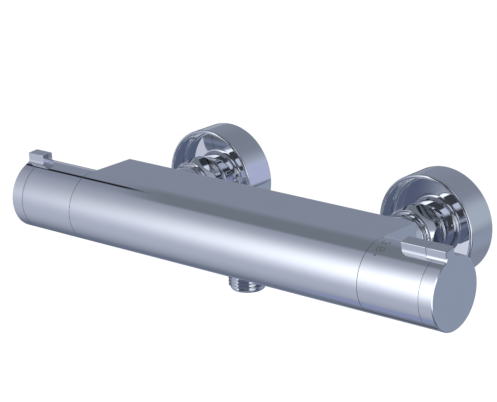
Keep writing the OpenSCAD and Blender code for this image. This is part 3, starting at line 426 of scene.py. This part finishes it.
def turned(outline, centre=(0, 0, 0), steps=192, axis="Y", joined=True):
    """A turned mesh. The outline is a list of (place along the axis, radius), a radius may be a function
    of the angle, and the centre is a point of the axis."""
    loops = []
    for place, radius in outline:
        loop = []
        for i in range(steps):
            angle = 2 * math.pi * i / steps
            r = radius(angle) if callable(radius) else radius
            u, w = r * math.sin(angle), r * math.cos(angle)
            x, y, z = {"X": (place, u, w), "Y": (u, place, w), "Z": (u, w, place)}[axis]
            loop.append((centre[0] + x, centre[1] + y, centre[2] + z))
        loops.append(loop)
    return closed_mesh(loops, joined)[0]


def arc(centre, radius, start, end, steps):
    """Points of an arc in a plane, angles in degrees."""
    return [(centre[0] + radius * math.cos(math.radians(start + (end - start) * i / steps)),
             centre[1] + radius * math.sin(math.radians(start + (end - start) * i / steps)))
            for i in range(steps + 1)]


def body_section():
    """Outline across the bar, as (back from the axis, up)."""
    flat_steps = 13
    flat_angle = 57.0
    back_steps = 20
    flat_end = deck_back - deck_edge_r
    flat = [bar_r * math.tan(math.radians(flat_angle * i / flat_steps)) for i in range(1, flat_steps)]
    points = arc((0, 0), bar_r, 90, 270, 160)
    points += [(y, -bar_r) for y in flat]
    points += arc((flat_end, -bar_r + deck_edge_r), deck_edge_r, 270, 360, 6)
    back_half = bar_r - deck_edge_r
    points += [(deck_back, (-1 + 2 * i / back_steps) * back_half) for i in range(1, back_steps)]
    points += arc((flat_end, bar_r - deck_edge_r), deck_edge_r, 0, 90, 6)
    points += [(y, bar_r) for y in reversed(flat)]
    return points


section = body_section()
socket_half = 11.5
loops = []
for x in (-body_end, -socket_half, socket_half, body_end):
    loops.append([(x, bar_axis_y + y, z) for y, z in section])
# Bores along the bar as (from, to, radius): three for the thermostat, the waterway, two for the headwork
bores = [(body_end, 86.0, 16.4), (86.0, 64.0, 15.0), (64.0, 40.0, 14.0), (40.0, -46.0, 8.0),
         (-46.0, -84.0, 11.0), (-84.0, -body_end, 13.4)]
for start, end, r in bores:
    bore = [(bar_axis_y + r * y / math.hypot(y, z), r * z / math.hypot(y, z)) for y, z in section]
    for x in (start, end):
        loops.append([(x, y, z) for y, z in bore])
body_mesh, body_rings = closed_mesh(loops, joined=True)
# The socket of the outlet opens in the flat underside, over a narrower waterway
socket_r = 9.4
socket_floor = -11.6
socket_front = 2.0
socket_back = 29.0
waterway_r = 5.0
waterway_top = -7.5
socket_steps = 96
hole = set()
for ring in (body_rings[1], body_rings[2]):
    hole.update(v for v in ring if abs(v.co.z + bar_r * mm) < 1e-7
                and socket_front * mm < v.co.y - bar_axis_y * mm < socket_back * mm)
for face in [f for f in body_mesh.faces if hole.issuperset(f.verts)]:
    body_mesh.faces.remove(face)
loose_edges = [e for e in body_mesh.edges if len(e.link_faces) == 0]
bmesh.ops.delete(body_mesh, geom=loose_edges, context="EDGES")
rim_edges = [e for e in body_mesh.edges if len(e.link_faces) == 1]
socket_rings = []
for z, r in ((-bar_r, socket_r), (socket_floor, socket_r),
             (socket_floor, waterway_r), (waterway_top, waterway_r)):
    ring = []
    for i in range(socket_steps):
        angle = 2 * math.pi * i / socket_steps
        point = Vector((r * math.cos(angle), bar_axis_y + outlet_back + r * math.sin(angle), z))
        ring.append(body_mesh.verts.new(point * mm))
    socket_rings.append(ring)
for first, second in zip(socket_rings, socket_rings[1:]):
    skin(body_mesh, first, second)
body_mesh.faces.new(socket_rings[-1])
mouth = set(socket_rings[0])
mouth_edges = [e for e in body_mesh.edges if len(e.link_faces) == 1 and mouth.issuperset(e.verts)]
bmesh.ops.triangle_fill(body_mesh, use_beauty=True, use_dissolve=False, edges=rim_edges + mouth_edges)
valve_shell = made("valve_body_shell", body_mesh)
eased(valve_shell, 0.1, 2)
fitted(valve_shell, chrome, "chrome", "valve", "valve_body")

# A neck is rooted a little way in the deck; its wider bore takes the inlet tail
neck_root = deck_back - 0.4
neck_bore_r = 7.0
tail_bore_r = 9.35
tail_bore_floor = deck_back + 4.5
foot = arc((neck_r + neck_foot_r, deck_back + neck_foot_r), neck_foot_r, 270, 180, 6)
neck_outline = [(neck_root, neck_bore_r), (neck_root, neck_r + neck_foot_r + 0.4)]
neck_outline += [(y, r) for r, y in foot]
neck_outline += [(neck_end, neck_r), (neck_end, tail_bore_r), (tail_bore_floor, tail_bore_r),
                 (tail_bore_floor, neck_bore_r)]
for side, label in ((-1, "hot"), (1, "cold")):
    neck = made("neck_" + label, turned(neck_outline, (side * inlet_x, bar_axis_y, 0), 128))
    eased(neck, 0.45)
    fitted(neck, chrome, "chrome", "valve", "valve_body")


# Hose outlet
# A short brass nipple pressed and bonded into the underside, with a plain shank and a male pipe thread
# for the shower hose; it is chromed with the body. A thin rubber seal lies at its inner end.
pipe_thread_r = 10.4775
thread_pitch = 1.814
thread_depth = 1.162
rows_per_turn = 10
crest_flat = 0.1
flank_share = 0.72
flank_roundness = 0.35
run_out_turns = 0.8


def cut_thread(start, end, crest_r, direction=1):
    """Outline of a screw thread with rounded crests and roots, as turned() takes it. It runs out smoothly
    at both ends."""
    root_r = crest_r - thread_depth
    steps = int((end - start) * direction / thread_pitch * rows_per_turn)
    rows = []
    for i in range(steps + 1):
        place = start + (end - start) * i / steps

        def radius(angle, place=place):
            phase = (place / thread_pitch + angle / (2 * math.pi)) % 1.0
            flank = 1.0 - abs(2.0 * phase - 1.0)
            form = min(1.0, max(0.0, (flank - crest_flat) / flank_share))
            form = form * form * (3 - 2 * form) * flank_roundness + form * (1 - flank_roundness)
            to_end = min(abs(place - start), abs(end - place))
            run_out = min(1.0, to_end / (run_out_turns * thread_pitch))
            return root_r + thread_depth * form * run_out

        rows.append((place, radius))
    return rows


outlet_top = -12.3
outlet_low = -31.9
outlet_bore_r = 6.5
shank_r = 9.3
shoulder_r = 9.8
shoulder_top = -19.6
shoulder_low = -20.9
undercut_r = 9.2
outlet_thread_top = -21.2
outlet_thread_low = -31.0
outlet_outline = [(outlet_top, outlet_bore_r), (outlet_top, shank_r), (shoulder_top + 0.05, shank_r),
                  (shoulder_top, shank_r), (shoulder_top, shoulder_r), (shoulder_low, shoulder_r),
                  (shoulder_low - 0.2, undercut_r)]
outlet_outline += cut_thread(outlet_thread_top, outlet_thread_low, pipe_thread_r, direction=-1)
outlet_outline += [(outlet_low + 0.7, shank_r), (outlet_low, shank_r - 0.6),
                   (outlet_low, outlet_bore_r + 0.4), (outlet_low + 0.4, outlet_bore_r)]
outlet = made("outlet_nipple_turned", turned(outlet_outline, (0, bar_axis_y + outlet_back, 0), 144, "Z"))
eased(outlet, 0.1, 2)
fitted(outlet, chrome, "chrome", "valve", "outlet_nipple")


def grain_group():
    """Fine moulded or turned grain: speckle, and rings round the X axis or the Y axis of the piece."""
    group = bpy.data.node_groups.new("fine_grain", "ShaderNodeTree")
    group.interface.new_socket("Size", in_out="INPUT", socket_type="NodeSocketFloat")
    group.interface.new_socket("Stretch", in_out="INPUT", socket_type="NodeSocketVector")
    group.interface.new_socket("Grain", in_out="OUTPUT", socket_type="NodeSocketFloat")
    group.interface.new_socket("Patches", in_out="OUTPUT", socket_type="NodeSocketFloat")
    entry = group.nodes.new("NodeGroupInput")
    exit_ = group.nodes.new("NodeGroupOutput")
    place = group.nodes.new("ShaderNodeTexCoord")
    stretch = group.nodes.new("ShaderNodeVectorMath")
    stretch.operation = "MULTIPLY"
    grain = group.nodes.new("ShaderNodeTexNoise")
    grain.inputs["Detail"].default_value = 3.0
    patches = group.nodes.new("ShaderNodeTexNoise")
    patches.inputs["Scale"].default_value = 160.0
    patches.inputs["Detail"].default_value = 4.0
    group.links.new(place.outputs["Object"], stretch.inputs[0])
    group.links.new(entry.outputs["Stretch"], stretch.inputs[1])
    group.links.new(stretch.outputs[0], grain.inputs["Vector"])
    group.links.new(entry.outputs["Size"], grain.inputs["Scale"])
    group.links.new(place.outputs["Object"], patches.inputs["Vector"])
    group.links.new(grain.outputs["Fac"], exit_.inputs["Grain"])
    group.links.new(patches.outputs["Fac"], exit_.inputs["Patches"])
    return group


fine_grain = grain_group()


def grained(name, metallic, tones, roughness, size, stretch, strength, depth):
    """A finish with fine grain: two tones in patches, a roughness between two values, and a relief of the
    given strength and depth in metres. Size and stretch are those of the grain."""
    finish, shader, tree_nodes, links = new_finish(name, metallic, roughness[0])
    grain = tree_nodes.new("ShaderNodeGroup")
    grain.node_tree = fine_grain
    grain.inputs["Size"].default_value = size
    grain.inputs["Stretch"].default_value = stretch
    two_tones(tree_nodes, links, grain.outputs["Patches"], shader, *tones)
    rough_between(tree_nodes, links, grain.outputs["Grain"], shader, *roughness)
    dented(tree_nodes, links, grain.outputs["Grain"], shader, strength, depth)
    return finish


def dress(finish, *names):
    """Puts a finish on CAD nodes whose shape is right as it is."""
    for name in names:
        data = nodes_of_frame[name].data
        data.materials.clear()
        data.materials.append(finish)


seal_rubber = grained("seal_rubber", 0.0, tones=((0.025, 0.025, 0.028), (0.045, 0.045, 0.048)),
                      roughness=(0.55, 0.8), size=2500.0, stretch=(1, 1, 1), strength=0.3, depth=0.00002)
dress(seal_rubber, "outlet_seal")


# Inlet tails with check valves
# Each brass tail is screwed into a neck and ends in a flange that the union nut pulls on. A plastic check
# valve sits inside: a cage, a poppet and a stainless spring; a washer and a strainer lie on the flange.
turned_brass = grained("turned_brass", 1.0, tones=((0.72, 0.53, 0.25), (0.80, 0.61, 0.32)),
                       roughness=(0.16, 0.34), size=900.0, stretch=(9, 1, 1), strength=0.25, depth=0.00002)
drawn_steel = grained("drawn_steel", 1.0, tones=((0.52, 0.53, 0.55), (0.62, 0.63, 0.65)),
                      roughness=(0.14, 0.3), size=1800.0, stretch=(1, 1, 4), strength=0.2, depth=0.00001)
white_plastic = grained("white_acetal", 0.0, tones=((0.82, 0.81, 0.77), (0.87, 0.86, 0.83)),
                        roughness=(0.32, 0.5), size=1600.0, stretch=(1, 1, 1), strength=0.15, depth=0.00001)
white_shader = white_plastic.node_tree.nodes["Principled BSDF"]
white_shader.inputs["Subsurface Weight"].default_value = 0.08
white_shader.inputs["Subsurface Radius"].default_value = (0.001, 0.001, 0.001)
grey_plastic = grained("grey_nylon", 0.0, tones=((0.20, 0.21, 0.23), (0.26, 0.27, 0.29)),
                       roughness=(0.38, 0.58), size=1500.0, stretch=(1, 1, 1), strength=0.2, depth=0.00001)
for label in ("hot", "cold"):
    dress(turned_brass, "inlet_tail_" + label)
    dress(seal_rubber, "inlet_washer_" + label)
    dress(drawn_steel, "inlet_strainer_" + label, "check_spring_" + label)
    dress(white_plastic, "check_cage_" + label)
    dress(grey_plastic, "check_poppet_" + label)


# Union nuts
# Hexagonal brass nuts with a round boss in front, long cones turned at both ends and turned-down corners,
# chromed. A corner stands up on both, as the spanner that screwed them onto the wall unions left them.
nut_flat_r = 15.0
nut_turned_r = 16.4
nut_end_r = 14.27
nut_cone_len = 3.8
nut_start = neck_end + 0.5
nut_boss_end = nut_start + 3.5
nut_lip_end = nut_start + 4.6
nut_end = nut_start + 16.0
nut_lip_r = 9.5
nut_bore_r = 13.32


def nut_angles():
    """Angles round the nut from a corner straight up, closer together where the corners are cut."""
    corner_steps = 3
    flat_steps = 9
    turned_half = math.pi / 6 - math.acos(nut_flat_r / nut_turned_r)
    half = [turned_half * i / corner_steps for i in range(corner_steps + 1)]
    half += [turned_half + (math.pi / 6 - turned_half) * i / flat_steps for i in range(1, flat_steps + 1)]
    part = half + [math.pi / 3 - angle for angle in reversed(half[1:-1])]
    return [corner * math.pi / 3 + angle for corner in range(6) for angle in part]


def nut_profile(angle):
    """The nut cut lengthwise at an angle round it, as (place, radius) from its mouth round to its lip."""
    side_r = min(nut_turned_r, nut_flat_r / math.cos(angle % (math.pi / 3) - math.pi / 6))
    cut = nut_cone_len * (side_r - nut_end_r) / (nut_turned_r - nut_end_r)
    return [(nut_start, nut_lip_r), (nut_start, neck_r), (nut_boss_end, neck_r), (nut_boss_end, nut_end_r),
            (nut_boss_end + cut, side_r), (nut_end - cut, side_r), (nut_end, nut_end_r),
            (nut_end, nut_bore_r), (nut_lip_end, nut_bore_r), (nut_lip_end, nut_lip_r)]


def nut_mesh(side):
    """The nut's mesh, with one loop round it at each point of the profile."""
    rows = []
    for angle in nut_angles():
        rows.append([(side * inlet_x + r * math.sin(angle), bar_axis_y + place, r * math.cos(angle))
                     for place, r in nut_profile(angle)])
    return closed_mesh(list(zip(*rows)), joined=True)[0]


for side, label in ((-1, "hot"), (1, "cold")):
    nut = made("hex_nut_" + label, nut_mesh(side))
    eased(nut, 0.25, 3, 18.0)
    fitted(nut, chrome, "chrome", "valve", "union_nut_" + label)


# Wall unions
# Eccentric brass fittings, chromed: a thread for the union nut, a disc, and a smaller thread set 10 mm
# lower that is sealed into the pipe in the wall. Turning them sets the 150 mm between the inlets.
union_r = 13.22
union_bore_r = 8.5
pipe_bore_r = 7.5
bore_ease = 0.4
root_lap = 0.3
union_offset = 10.0
union_start = 63.5
disc_start = 88.2
disc_end = 92.0
pipe_end = 107.0
disc_r = 16.85
disc_drop = 3.63


def cut_with(piece, cutter):
    """Takes the cutter's shape out of the piece for good."""
    cut = piece.modifiers.new("cut", "BOOLEAN")
    cut.operation = "DIFFERENCE"
    cut.solver = "EXACT"
    cut.object = cutter
    graph = bpy.context.evaluated_depsgraph_get()
    data = bpy.data.meshes.new_from_object(piece.evaluated_get(graph))
    piece.modifiers.clear()
    piece.data = data
    bpy.data.objects.remove(cutter)


for side, label in ((-1, "hot"), (1, "cold")):
    at = (side * inlet_x, bar_axis_y, 0)
    low = (side * inlet_x, bar_axis_y, -union_offset)
    middle = (side * inlet_x, bar_axis_y, -disc_drop)
    front_root = disc_start + root_lap
    front_outline = [(front_root, union_bore_r), (front_root, union_r - thread_depth)]
    front_outline += cut_thread(disc_start, union_start + 0.5, union_r, direction=-1)
    front_outline += [(union_start, union_r - 1.6), (union_start, union_bore_r + bore_ease),
                      (union_start + bore_ease, union_bore_r)]
    front = made("union_front_" + label, turned(front_outline, at, 144))
    eased(front, 0.1, 2)
    fitted(front, chrome, "chrome", "valve", "wall_union_" + label)
    rear_root = disc_end - root_lap
    rear_outline = [(rear_root, pipe_bore_r), (rear_root, pipe_thread_r - thread_depth)]
    rear_outline += cut_thread(disc_end, pipe_end - 0.7, pipe_thread_r)
    rear_outline += [(pipe_end, pipe_thread_r - 1.7), (pipe_end, pipe_bore_r + bore_ease),
                     (pipe_end - bore_ease, pipe_bore_r)]
    rear = made("union_rear_" + label, turned(rear_outline, low, 144))
    eased(rear, 0.1, 2)
    fitted(rear, chrome, "chrome", "valve", "wall_union_" + label)
    disc_outline = [(disc_start, disc_r), (disc_end, disc_r)]
    disc = made("union_disc_" + label, turned(disc_outline, middle, 160, joined=False))
    # The two bores overlap inside the disc, and each leaves a thin wall at the other's side
    thin = 0.1
    for centre, radius, start, end in ((at, union_bore_r, disc_start - 1.2, disc_end - thin),
                                       (low, pipe_bore_r, disc_start + thin, disc_end + 2.0)):
        cut_with(disc, made("cutter", turned([(start, radius), (end, radius)], centre, 96, joined=False)))
    eased(disc, 0.3)
    fitted(disc, chrome, "chrome", "valve", "wall_union_" + label)


# Escutcheons
# Brass cups with a rounded rim and a flat floor, screwed along the union up to the wall by a threaded
# collar; they cover the union and the hole in the tiles. Chromed inside and outside.
cup_r = 29.85
cup_wall = 2.2
cup_depth = 19.9
cup_floor_low = 8.2
cup_floor_top = cup_floor_low + 1.8
cup_fillet_r = 2.0
cup_ease = 0.3
collar_in = 13.32
collar_out = collar_in + 1.0
collar_top = 21.7
collar_fillet_r = 2.4
collar_ease = 0.2
cup_in = cup_r - cup_wall
rim_r = cup_wall / 2
rim = cup_depth - rim_r
below_rim = rim - 0.6
# Outline as (radius, height over the wall), from the wall over the rim to the floor, the collar and back
cup_outline = [(cup_r - cup_ease, 0.0), (cup_r, cup_ease), (cup_r, 6.0), (cup_r, 12.0), (cup_r, below_rim)]
cup_outline += arc((cup_r - rim_r, rim), rim_r, 0, 180, 16)
cup_outline += [(cup_in, below_rim), (cup_in, cup_floor_top + cup_fillet_r + 0.5)]
cup_outline += arc((cup_in - cup_fillet_r, cup_floor_top + cup_fillet_r), cup_fillet_r, 0, -90, 20)
cup_outline += [(collar_out + collar_fillet_r + 1.0, cup_floor_top)]
cup_outline += arc((collar_out + collar_fillet_r, cup_floor_top + collar_fillet_r), collar_fillet_r,
                   270, 180, 10)
cup_outline += [(collar_out, collar_top - cup_ease), (collar_out - cup_ease, collar_top),
                (collar_in + collar_ease, collar_top), (collar_in, collar_top - collar_ease),
                (collar_in, cup_floor_low), (cup_in, cup_floor_low), (cup_in, 0.0)]
for side, label in ((-1, "hot"), (1, "cold")):
    cup = made("escutcheon_cup_" + label,
               turned([(-up, r) for r, up in cup_outline], (side * inlet_x, 0, 0), 256))
    eased(cup, 0.15, 2, 35.0)
    fitted(cup, chrome, "chrome", "valve", "escutcheon_" + label)


# Thermostat
# The cartridge under the right handle: a brass housing with rubber rings and a retaining nut, the wax
# element in copper with its plastic shuttle and cup, two steel springs, and the white stop ring.
wax_copper = grained("drawn_copper", 1.0, tones=((0.70, 0.36, 0.22), (0.80, 0.46, 0.30)),
                     roughness=(0.18, 0.36), size=900.0, stretch=(6, 1, 1), strength=0.2, depth=0.00001)
dress(turned_brass, "thermostat_housing", "thermostat_nut", "temperature_spindle", "spring_retainer")
dress(seal_rubber, "thermostat_o_rings")
dress(drawn_steel, "temperature_clip", "overtravel_spring", "return_spring")
dress(grey_plastic, "thrust_cup")
dress(white_plastic, "thermostat_shuttle", "stop_ring")
dress(wax_copper, "wax_element")


# Headwork
# The quarter-turn cartridge under the left handle: a brass housing with a hexagon, a splined spindle held
# by a clip, and two ceramic discs that open and shut the mixed water over a rubber seal.
disc_ceramic = grained("sintered_ceramic", 0.0, tones=((0.30, 0.27, 0.25), (0.38, 0.35, 0.33)),
                       roughness=(0.12, 0.22), size=2200.0, stretch=(1, 1, 1), strength=0.1, depth=0.000005)
dress(turned_brass, "headwork_housing", "headwork_spindle")
dress(seal_rubber, "headwork_o_rings", "disc_seal")
dress(drawn_steel, "headwork_clip")
dress(disc_ceramic, "moving_disc", "fixed_disc")


# Handle sleeves
# Tubes of chromed plastic-backed brass round the inner hubs, one at each end of the bar. The right one
# has a slot along its top for the safety button.
sleeve_r_in = 17.0
sleeve_start = 0.2
sleeve_end = 36.5
slot_start = 17.95
slot_end = 33.25
slot_half = 3.58
temperature_tilt = math.radians(10.5)
flow_tilt = math.radians(3.5)


def at_handle(side, tilt, station, across, up):
    """A point of a handle: station outwards from the body's end, across to the back, up along its tab."""
    return (side * (body_end + station), bar_axis_y + across * math.cos(tilt) - up * math.sin(tilt),
            across * math.sin(tilt) + up * math.cos(tilt))


def handle_verts(mesh, side, tilt, station, points):
    """New vertices of a handle at one station, at points (across, up)."""
    return [mesh.verts.new(Vector(at_handle(side, tilt, station, *point)) * mm) for point in points]


def sleeve_mesh(side, tilt, slotted):
    """A tube round the handle's axis. Two stations and a fan of angles mark where the slot may be cut."""
    edge_out = math.asin(slot_half / bar_r)
    edge_in = math.asin(slot_half / sleeve_r_in)
    slot_steps = 12
    round_steps = 220
    angles = []
    for i in range(slot_steps + 1):
        share = -1 + 2 * i / slot_steps
        angles.append((share * edge_out, share * edge_in))
    for i in range(1, round_steps):
        share = i / round_steps
        angles.append(tuple(edge + share * (2 * math.pi - 2 * edge) for edge in (edge_out, edge_in)))
    stations = [sleeve_start, slot_start, slot_end, sleeve_end]
    loops = []
    outer_angles, inner_angles = zip(*angles)
    for row, r, places in ((outer_angles, bar_r, stations), (inner_angles, sleeve_r_in, stations[::-1])):
        for place in places:
            loops.append([at_handle(side, tilt, place, r * math.sin(a), r * math.cos(a)) for a in row])
    mesh, rings = closed_mesh(loops, joined=True)
    if slotted:
        outer = set(rings[1][:slot_steps + 1]) | set(rings[2][:slot_steps + 1])
        inner = set(rings[5][:slot_steps + 1]) | set(rings[6][:slot_steps + 1])
        for face in [f for f in mesh.faces if outer.issuperset(f.verts) or inner.issuperset(f.verts)]:
            mesh.faces.remove(face)
        bmesh.ops.delete(mesh, geom=[e for e in mesh.edges if not e.link_faces], context="EDGES")
        for top, low in ((rings[1], rings[6]), (rings[2], rings[5])):
            for i in range(slot_steps):
                mesh.faces.new((top[i], top[i + 1], low[i + 1], low[i]))
        for i in (0, slot_steps):
            mesh.faces.new((rings[1][i], rings[2][i], rings[5][i], rings[6][i]))
    return mesh


temperature_sleeve = made("temperature_sleeve_tube", sleeve_mesh(1, temperature_tilt, True))
eased(temperature_sleeve, 0.08, 2)
fitted(temperature_sleeve, chrome, "chrome", "temperature_control", "temperature_sleeve")
flow_sleeve = made("flow_sleeve_tube", sleeve_mesh(-1, flow_tilt, False))
eased(flow_sleeve, 0.08, 2)
fitted(flow_sleeve, chrome, "chrome", "flow_control", "flow_sleeve")
dress(grey_plastic, "temperature_hub", "flow_hub")
dress(drawn_steel, "temperature_screw", "flow_screw")


# End caps
# Solid chromed discs that close the handles. A square tab stands up from each, blended into the round
# edge, and reaches a little way over the sleeve as a finger grip.
cap_start = 36.7
cap_end = 44.8
cap_bevel = 0.5
tab_start = 33.0
tab_half = 3.5
tab_top = 24.5
tab_foot_r = 2.0
tab_corner_r = 0.35
tab_bevel_share = 0.9
tab_middle = 12.0
under_tab_r = 19.56
peg_start = cap_start - 4.5
peg_r = 5.0
peg_bore_r = 0.5


def cap_section():
    """Outline of the cap with its tab, as (across, up, share of the end bevel); the first and last points
    lie where the tab lifts off the sleeve."""
    off = tab_half + tab_foot_r
    high = math.sqrt((bar_r + tab_foot_r) ** 2 - off ** 2)
    foot = math.degrees(math.atan2(high, off))
    right = arc((off, high), tab_foot_r, 180 + foot, 180, 10)
    lift = next(i for i, (y, z) in enumerate(right) if math.hypot(y, z) > under_tab_r)
    tab = right[lift:]
    tab += arc((tab_half - tab_corner_r, tab_top - tab_corner_r), tab_corner_r, 0, 90, 4)
    tab += [(-y, z) for y, z in reversed(tab)]
    rest = [(-y, z) for y, z in reversed(right[:lift])]
    rest += arc((0, 0), bar_r, 180 - foot, 360 + foot, 220)[1:-1]
    rest += right[:lift]
    return [(y, z, tab_bevel_share) for y, z in tab], [(y, z, 1.0) for y, z in rest]


def cap_mesh(side, tilt):
    """The cap as a disc with its tab, and the part of the tab that lies over the sleeve."""
    tab, rest = cap_section()
    whole = tab + rest
    mesh = bmesh.new()

    def ring(points, station, inset):
        """A loop of the outline, drawn in by the inset."""
        row = []
        count = len(points)
        for i, (y, z, share) in enumerate(points):
            before, after = points[i - 1], points[(i + 1) % count]
            along = Vector((after[0] - before[0], after[1] - before[1])).normalized()
            inward = Vector((-along.y, along.x))
            if inward.dot(Vector((y, z - (tab_middle if share < 1 else 0.0)))) > 0:
                inward = -inward
            row.append((y + inward.x * inset * share, z + inward.y * inset * share))
        return handle_verts(mesh, side, tilt, station, row)

    inner = ring(whole, cap_start, 0.0)
    shoulder = ring(whole, cap_end - cap_bevel, 0.0)
    face = ring(whole, cap_end, cap_bevel)
    skin(mesh, inner, shoulder)
    skin(mesh, shoulder, face)
    mesh.faces.new(face)
    # The tab goes on over the sleeve, with a hollow underside just clear of it
    tab_count = len(tab)
    start_angle = math.atan2(tab[-1][0], tab[-1][1])
    end_angle = math.atan2(tab[0][0], tab[0][1])
    under_steps = 10
    under = []
    for i in range(1, under_steps):
        angle = start_angle + (end_angle - start_angle) * i / under_steps
        under.append((under_tab_r * math.sin(angle), under_tab_r * math.cos(angle)))
    lip = handle_verts(mesh, side, tilt, tab_start, [(y, z) for y, z, share in tab])
    under_far = handle_verts(mesh, side, tilt, tab_start, under)
    under_near = handle_verts(mesh, side, tilt, cap_start, under)
    outer_near = inner[:tab_count]
    for i in range(tab_count - 1):
        mesh.faces.new((outer_near[i], outer_near[i + 1], lip[i + 1], lip[i]))
    near_path = [outer_near[-1]] + under_near + [outer_near[0]]
    far_path = [lip[-1]] + under_far + [lip[0]]
    for i in range(len(near_path) - 1):
        mesh.faces.new((near_path[i], near_path[i + 1], far_path[i + 1], far_path[i]))
    mesh.faces.new(lip + under_far)
    mesh.faces.new([outer_near[0]] + list(reversed(inner[tab_count:])) + [outer_near[-1]] + under_near)
    return mesh


# A short peg behind each disc plugs into the hub
peg_outline = [(peg_start, peg_bore_r), (peg_start, peg_r - 0.4), (peg_start + 0.5, peg_r),
               (cap_start + 0.3, peg_r), (cap_start + 0.3, peg_bore_r)]
for side, tilt, label, body in ((1, temperature_tilt, "temperature", "temperature_control"),
                                (-1, flow_tilt, "flow", "flow_control")):
    cap = made(label + "_cap_with_tab", cap_mesh(side, tilt))
    eased(cap, 0.16)
    fitted(cap, chrome, "chrome", body, label + "_end_cap")
    peg_places = [(side * (body_end + station), r) for station, r in peg_outline]
    peg = made(label + "_cap_peg", turned(peg_places, (0, bar_axis_y, 0), 64, "X"))
    eased(peg, 0.1, 2)
    fitted(peg, chrome, "chrome", body, label + "_end_cap")


# Safety button
# A chromed button in line with the tab. Pushed in, its catch clears the lug of the stop ring, so that
# the handle can go past 38 degrees; a small steel spring under it lifts it again.
button_start = slot_start + 0.25
button_end = 32.8
button_low = 18.2
flange_half = 5.4
flange_t = 1.4
flange_end = sleeve_end - 4.5
flange_low = math.sqrt(sleeve_r_in ** 2 - flange_half ** 2) - 0.25 - flange_t
catch_start = 5.3
catch_end = button_start + 3.5
catch_half = 2.0
catch_low = flange_low - 1.8
catch_top = flange_low - 0.3
lap = 0.01


def block(mesh, start, end, half, low, top, corner=0.0):
    """A block between two stations of the right handle, its upper edges rounded by the corner."""
    if corner:
        outline = [(half, low)] + arc((half - corner, top - corner), corner, 0, 90, 4)
        outline += [(-y, z) for y, z in reversed(outline)]
    else:
        outline = [(half, low), (half, top), (-half, top), (-half, low)]
    near = handle_verts(mesh, 1, temperature_tilt, start, outline)
    far = handle_verts(mesh, 1, temperature_tilt, end, outline)
    skin(mesh, near, far)
    mesh.faces.new(list(reversed(near)))
    mesh.faces.new(far)


button_mesh = bmesh.new()
block(button_mesh, button_start, button_end, tab_half, button_low, tab_top, tab_corner_r)
block(button_mesh, button_start, flange_end, tab_half - lap, flange_low + 2 * lap, button_low + 0.4)
block(button_mesh, button_start, flange_end, flange_half, flange_low, flange_low + flange_t)
block(button_mesh, catch_start, catch_end, catch_half, catch_low, catch_top)
block(button_mesh, button_start, catch_end, catch_half, catch_low + lap, flange_low + 0.1)
safety_button = made("safety_button_block", button_mesh)
eased(safety_button, 0.22)
fitted(safety_button, chrome, "chrome", "safety_button", "safety_button")
dress(drawn_steel, "button_spring")


# Marks on the temperature sleeve
# A plain 38, for 38 degrees, and a dot, etched dark grey into the plating near the body and left matt.
# They read round the sleeve, towards the front.
etched_grey, etched_shader, etched_nodes, etched_links = new_finish("etched_mark", 0.4, 0.5)
etched_film = etched_nodes.new("ShaderNodeGroup")
etched_film.node_tree = polishing_marks
etched_film.inputs["Wave Size"].default_value = 400.0
etched_film.inputs["Film Size"].default_value = 1500.0
two_tones(etched_nodes, etched_links, etched_film.outputs["Wave"], etched_shader, (0.10, 0.107, 0.12),
          (0.135, 0.143, 0.157))
rough_between(etched_nodes, etched_links, etched_film.outputs["Film"], etched_shader, 0.4, 0.6)
mark_r = bar_r + 0.012
stroke_width = 0.5


def mark_strokes(strokes):
    """Thin etched lines laid on the sleeve. Points are (station, millimetres round from the top to the
    front)."""
    mesh = bmesh.new()
    for line in strokes:
        left, right = [], []
        for i, (s, a) in enumerate(line):
            before, after = line[max(0, i - 1)], line[min(len(line) - 1, i + 1)]
            along = Vector((after[0] - before[0], after[1] - before[1])).normalized()
            for row, way in ((left, 1), (right, -1)):
                place = s - along.y * way * stroke_width / 2
                angle = (a + along.x * way * stroke_width / 2) / bar_r
                row.append(mesh.verts.new(Vector((body_end + place, bar_axis_y - mark_r * math.sin(angle),
                                                  mark_r * math.cos(angle))) * mm))
        for i in range(len(line) - 1):
            mesh.faces.new((left[i], left[i + 1], right[i + 1], right[i]))
    return mesh


figure_height = 4.6
figure_width = 3.2


def figure(station, angle, curves):
    """Places curves of a figure, drawn in a unit box, upright along the bar and read towards the front."""
    round_bar = math.radians(angle) * bar_r
    return [[(station + (v - 0.5) * figure_height, round_bar + (u - 0.5) * figure_width)
             for u, v in curve] for curve in curves]


def bowl(half_width, middle, half_height, start, end):
    """A part of an oval in the unit box, between two angles in degrees from its top round to the right."""
    angles = [math.radians(t) for t in range(start, end + 1, 10)]
    return [(0.5 + half_width * math.sin(a), middle + half_height * math.cos(a)) for a in angles]


three = [bowl(0.42, 0.74, 0.24, -70, 180), bowl(0.48, 0.27, 0.25, 0, 250)]
eight = [bowl(0.4, 0.75, 0.23, 0, 360), bowl(0.48, 0.27, 0.25, 0, 360)]
dot_r = 0.36
dot_station = 5.8
dot_round = math.radians(38.0) * bar_r
dot = arc((dot_station, dot_round), dot_r, 0, 360, 18)
marks = made("sleeve_marks", mark_strokes(figure(6.0, 8.5, three) + figure(6.7, 25.5, eight) + [dot]))
fitted(marks, etched_grey, "grey_plastic", "temperature_control")
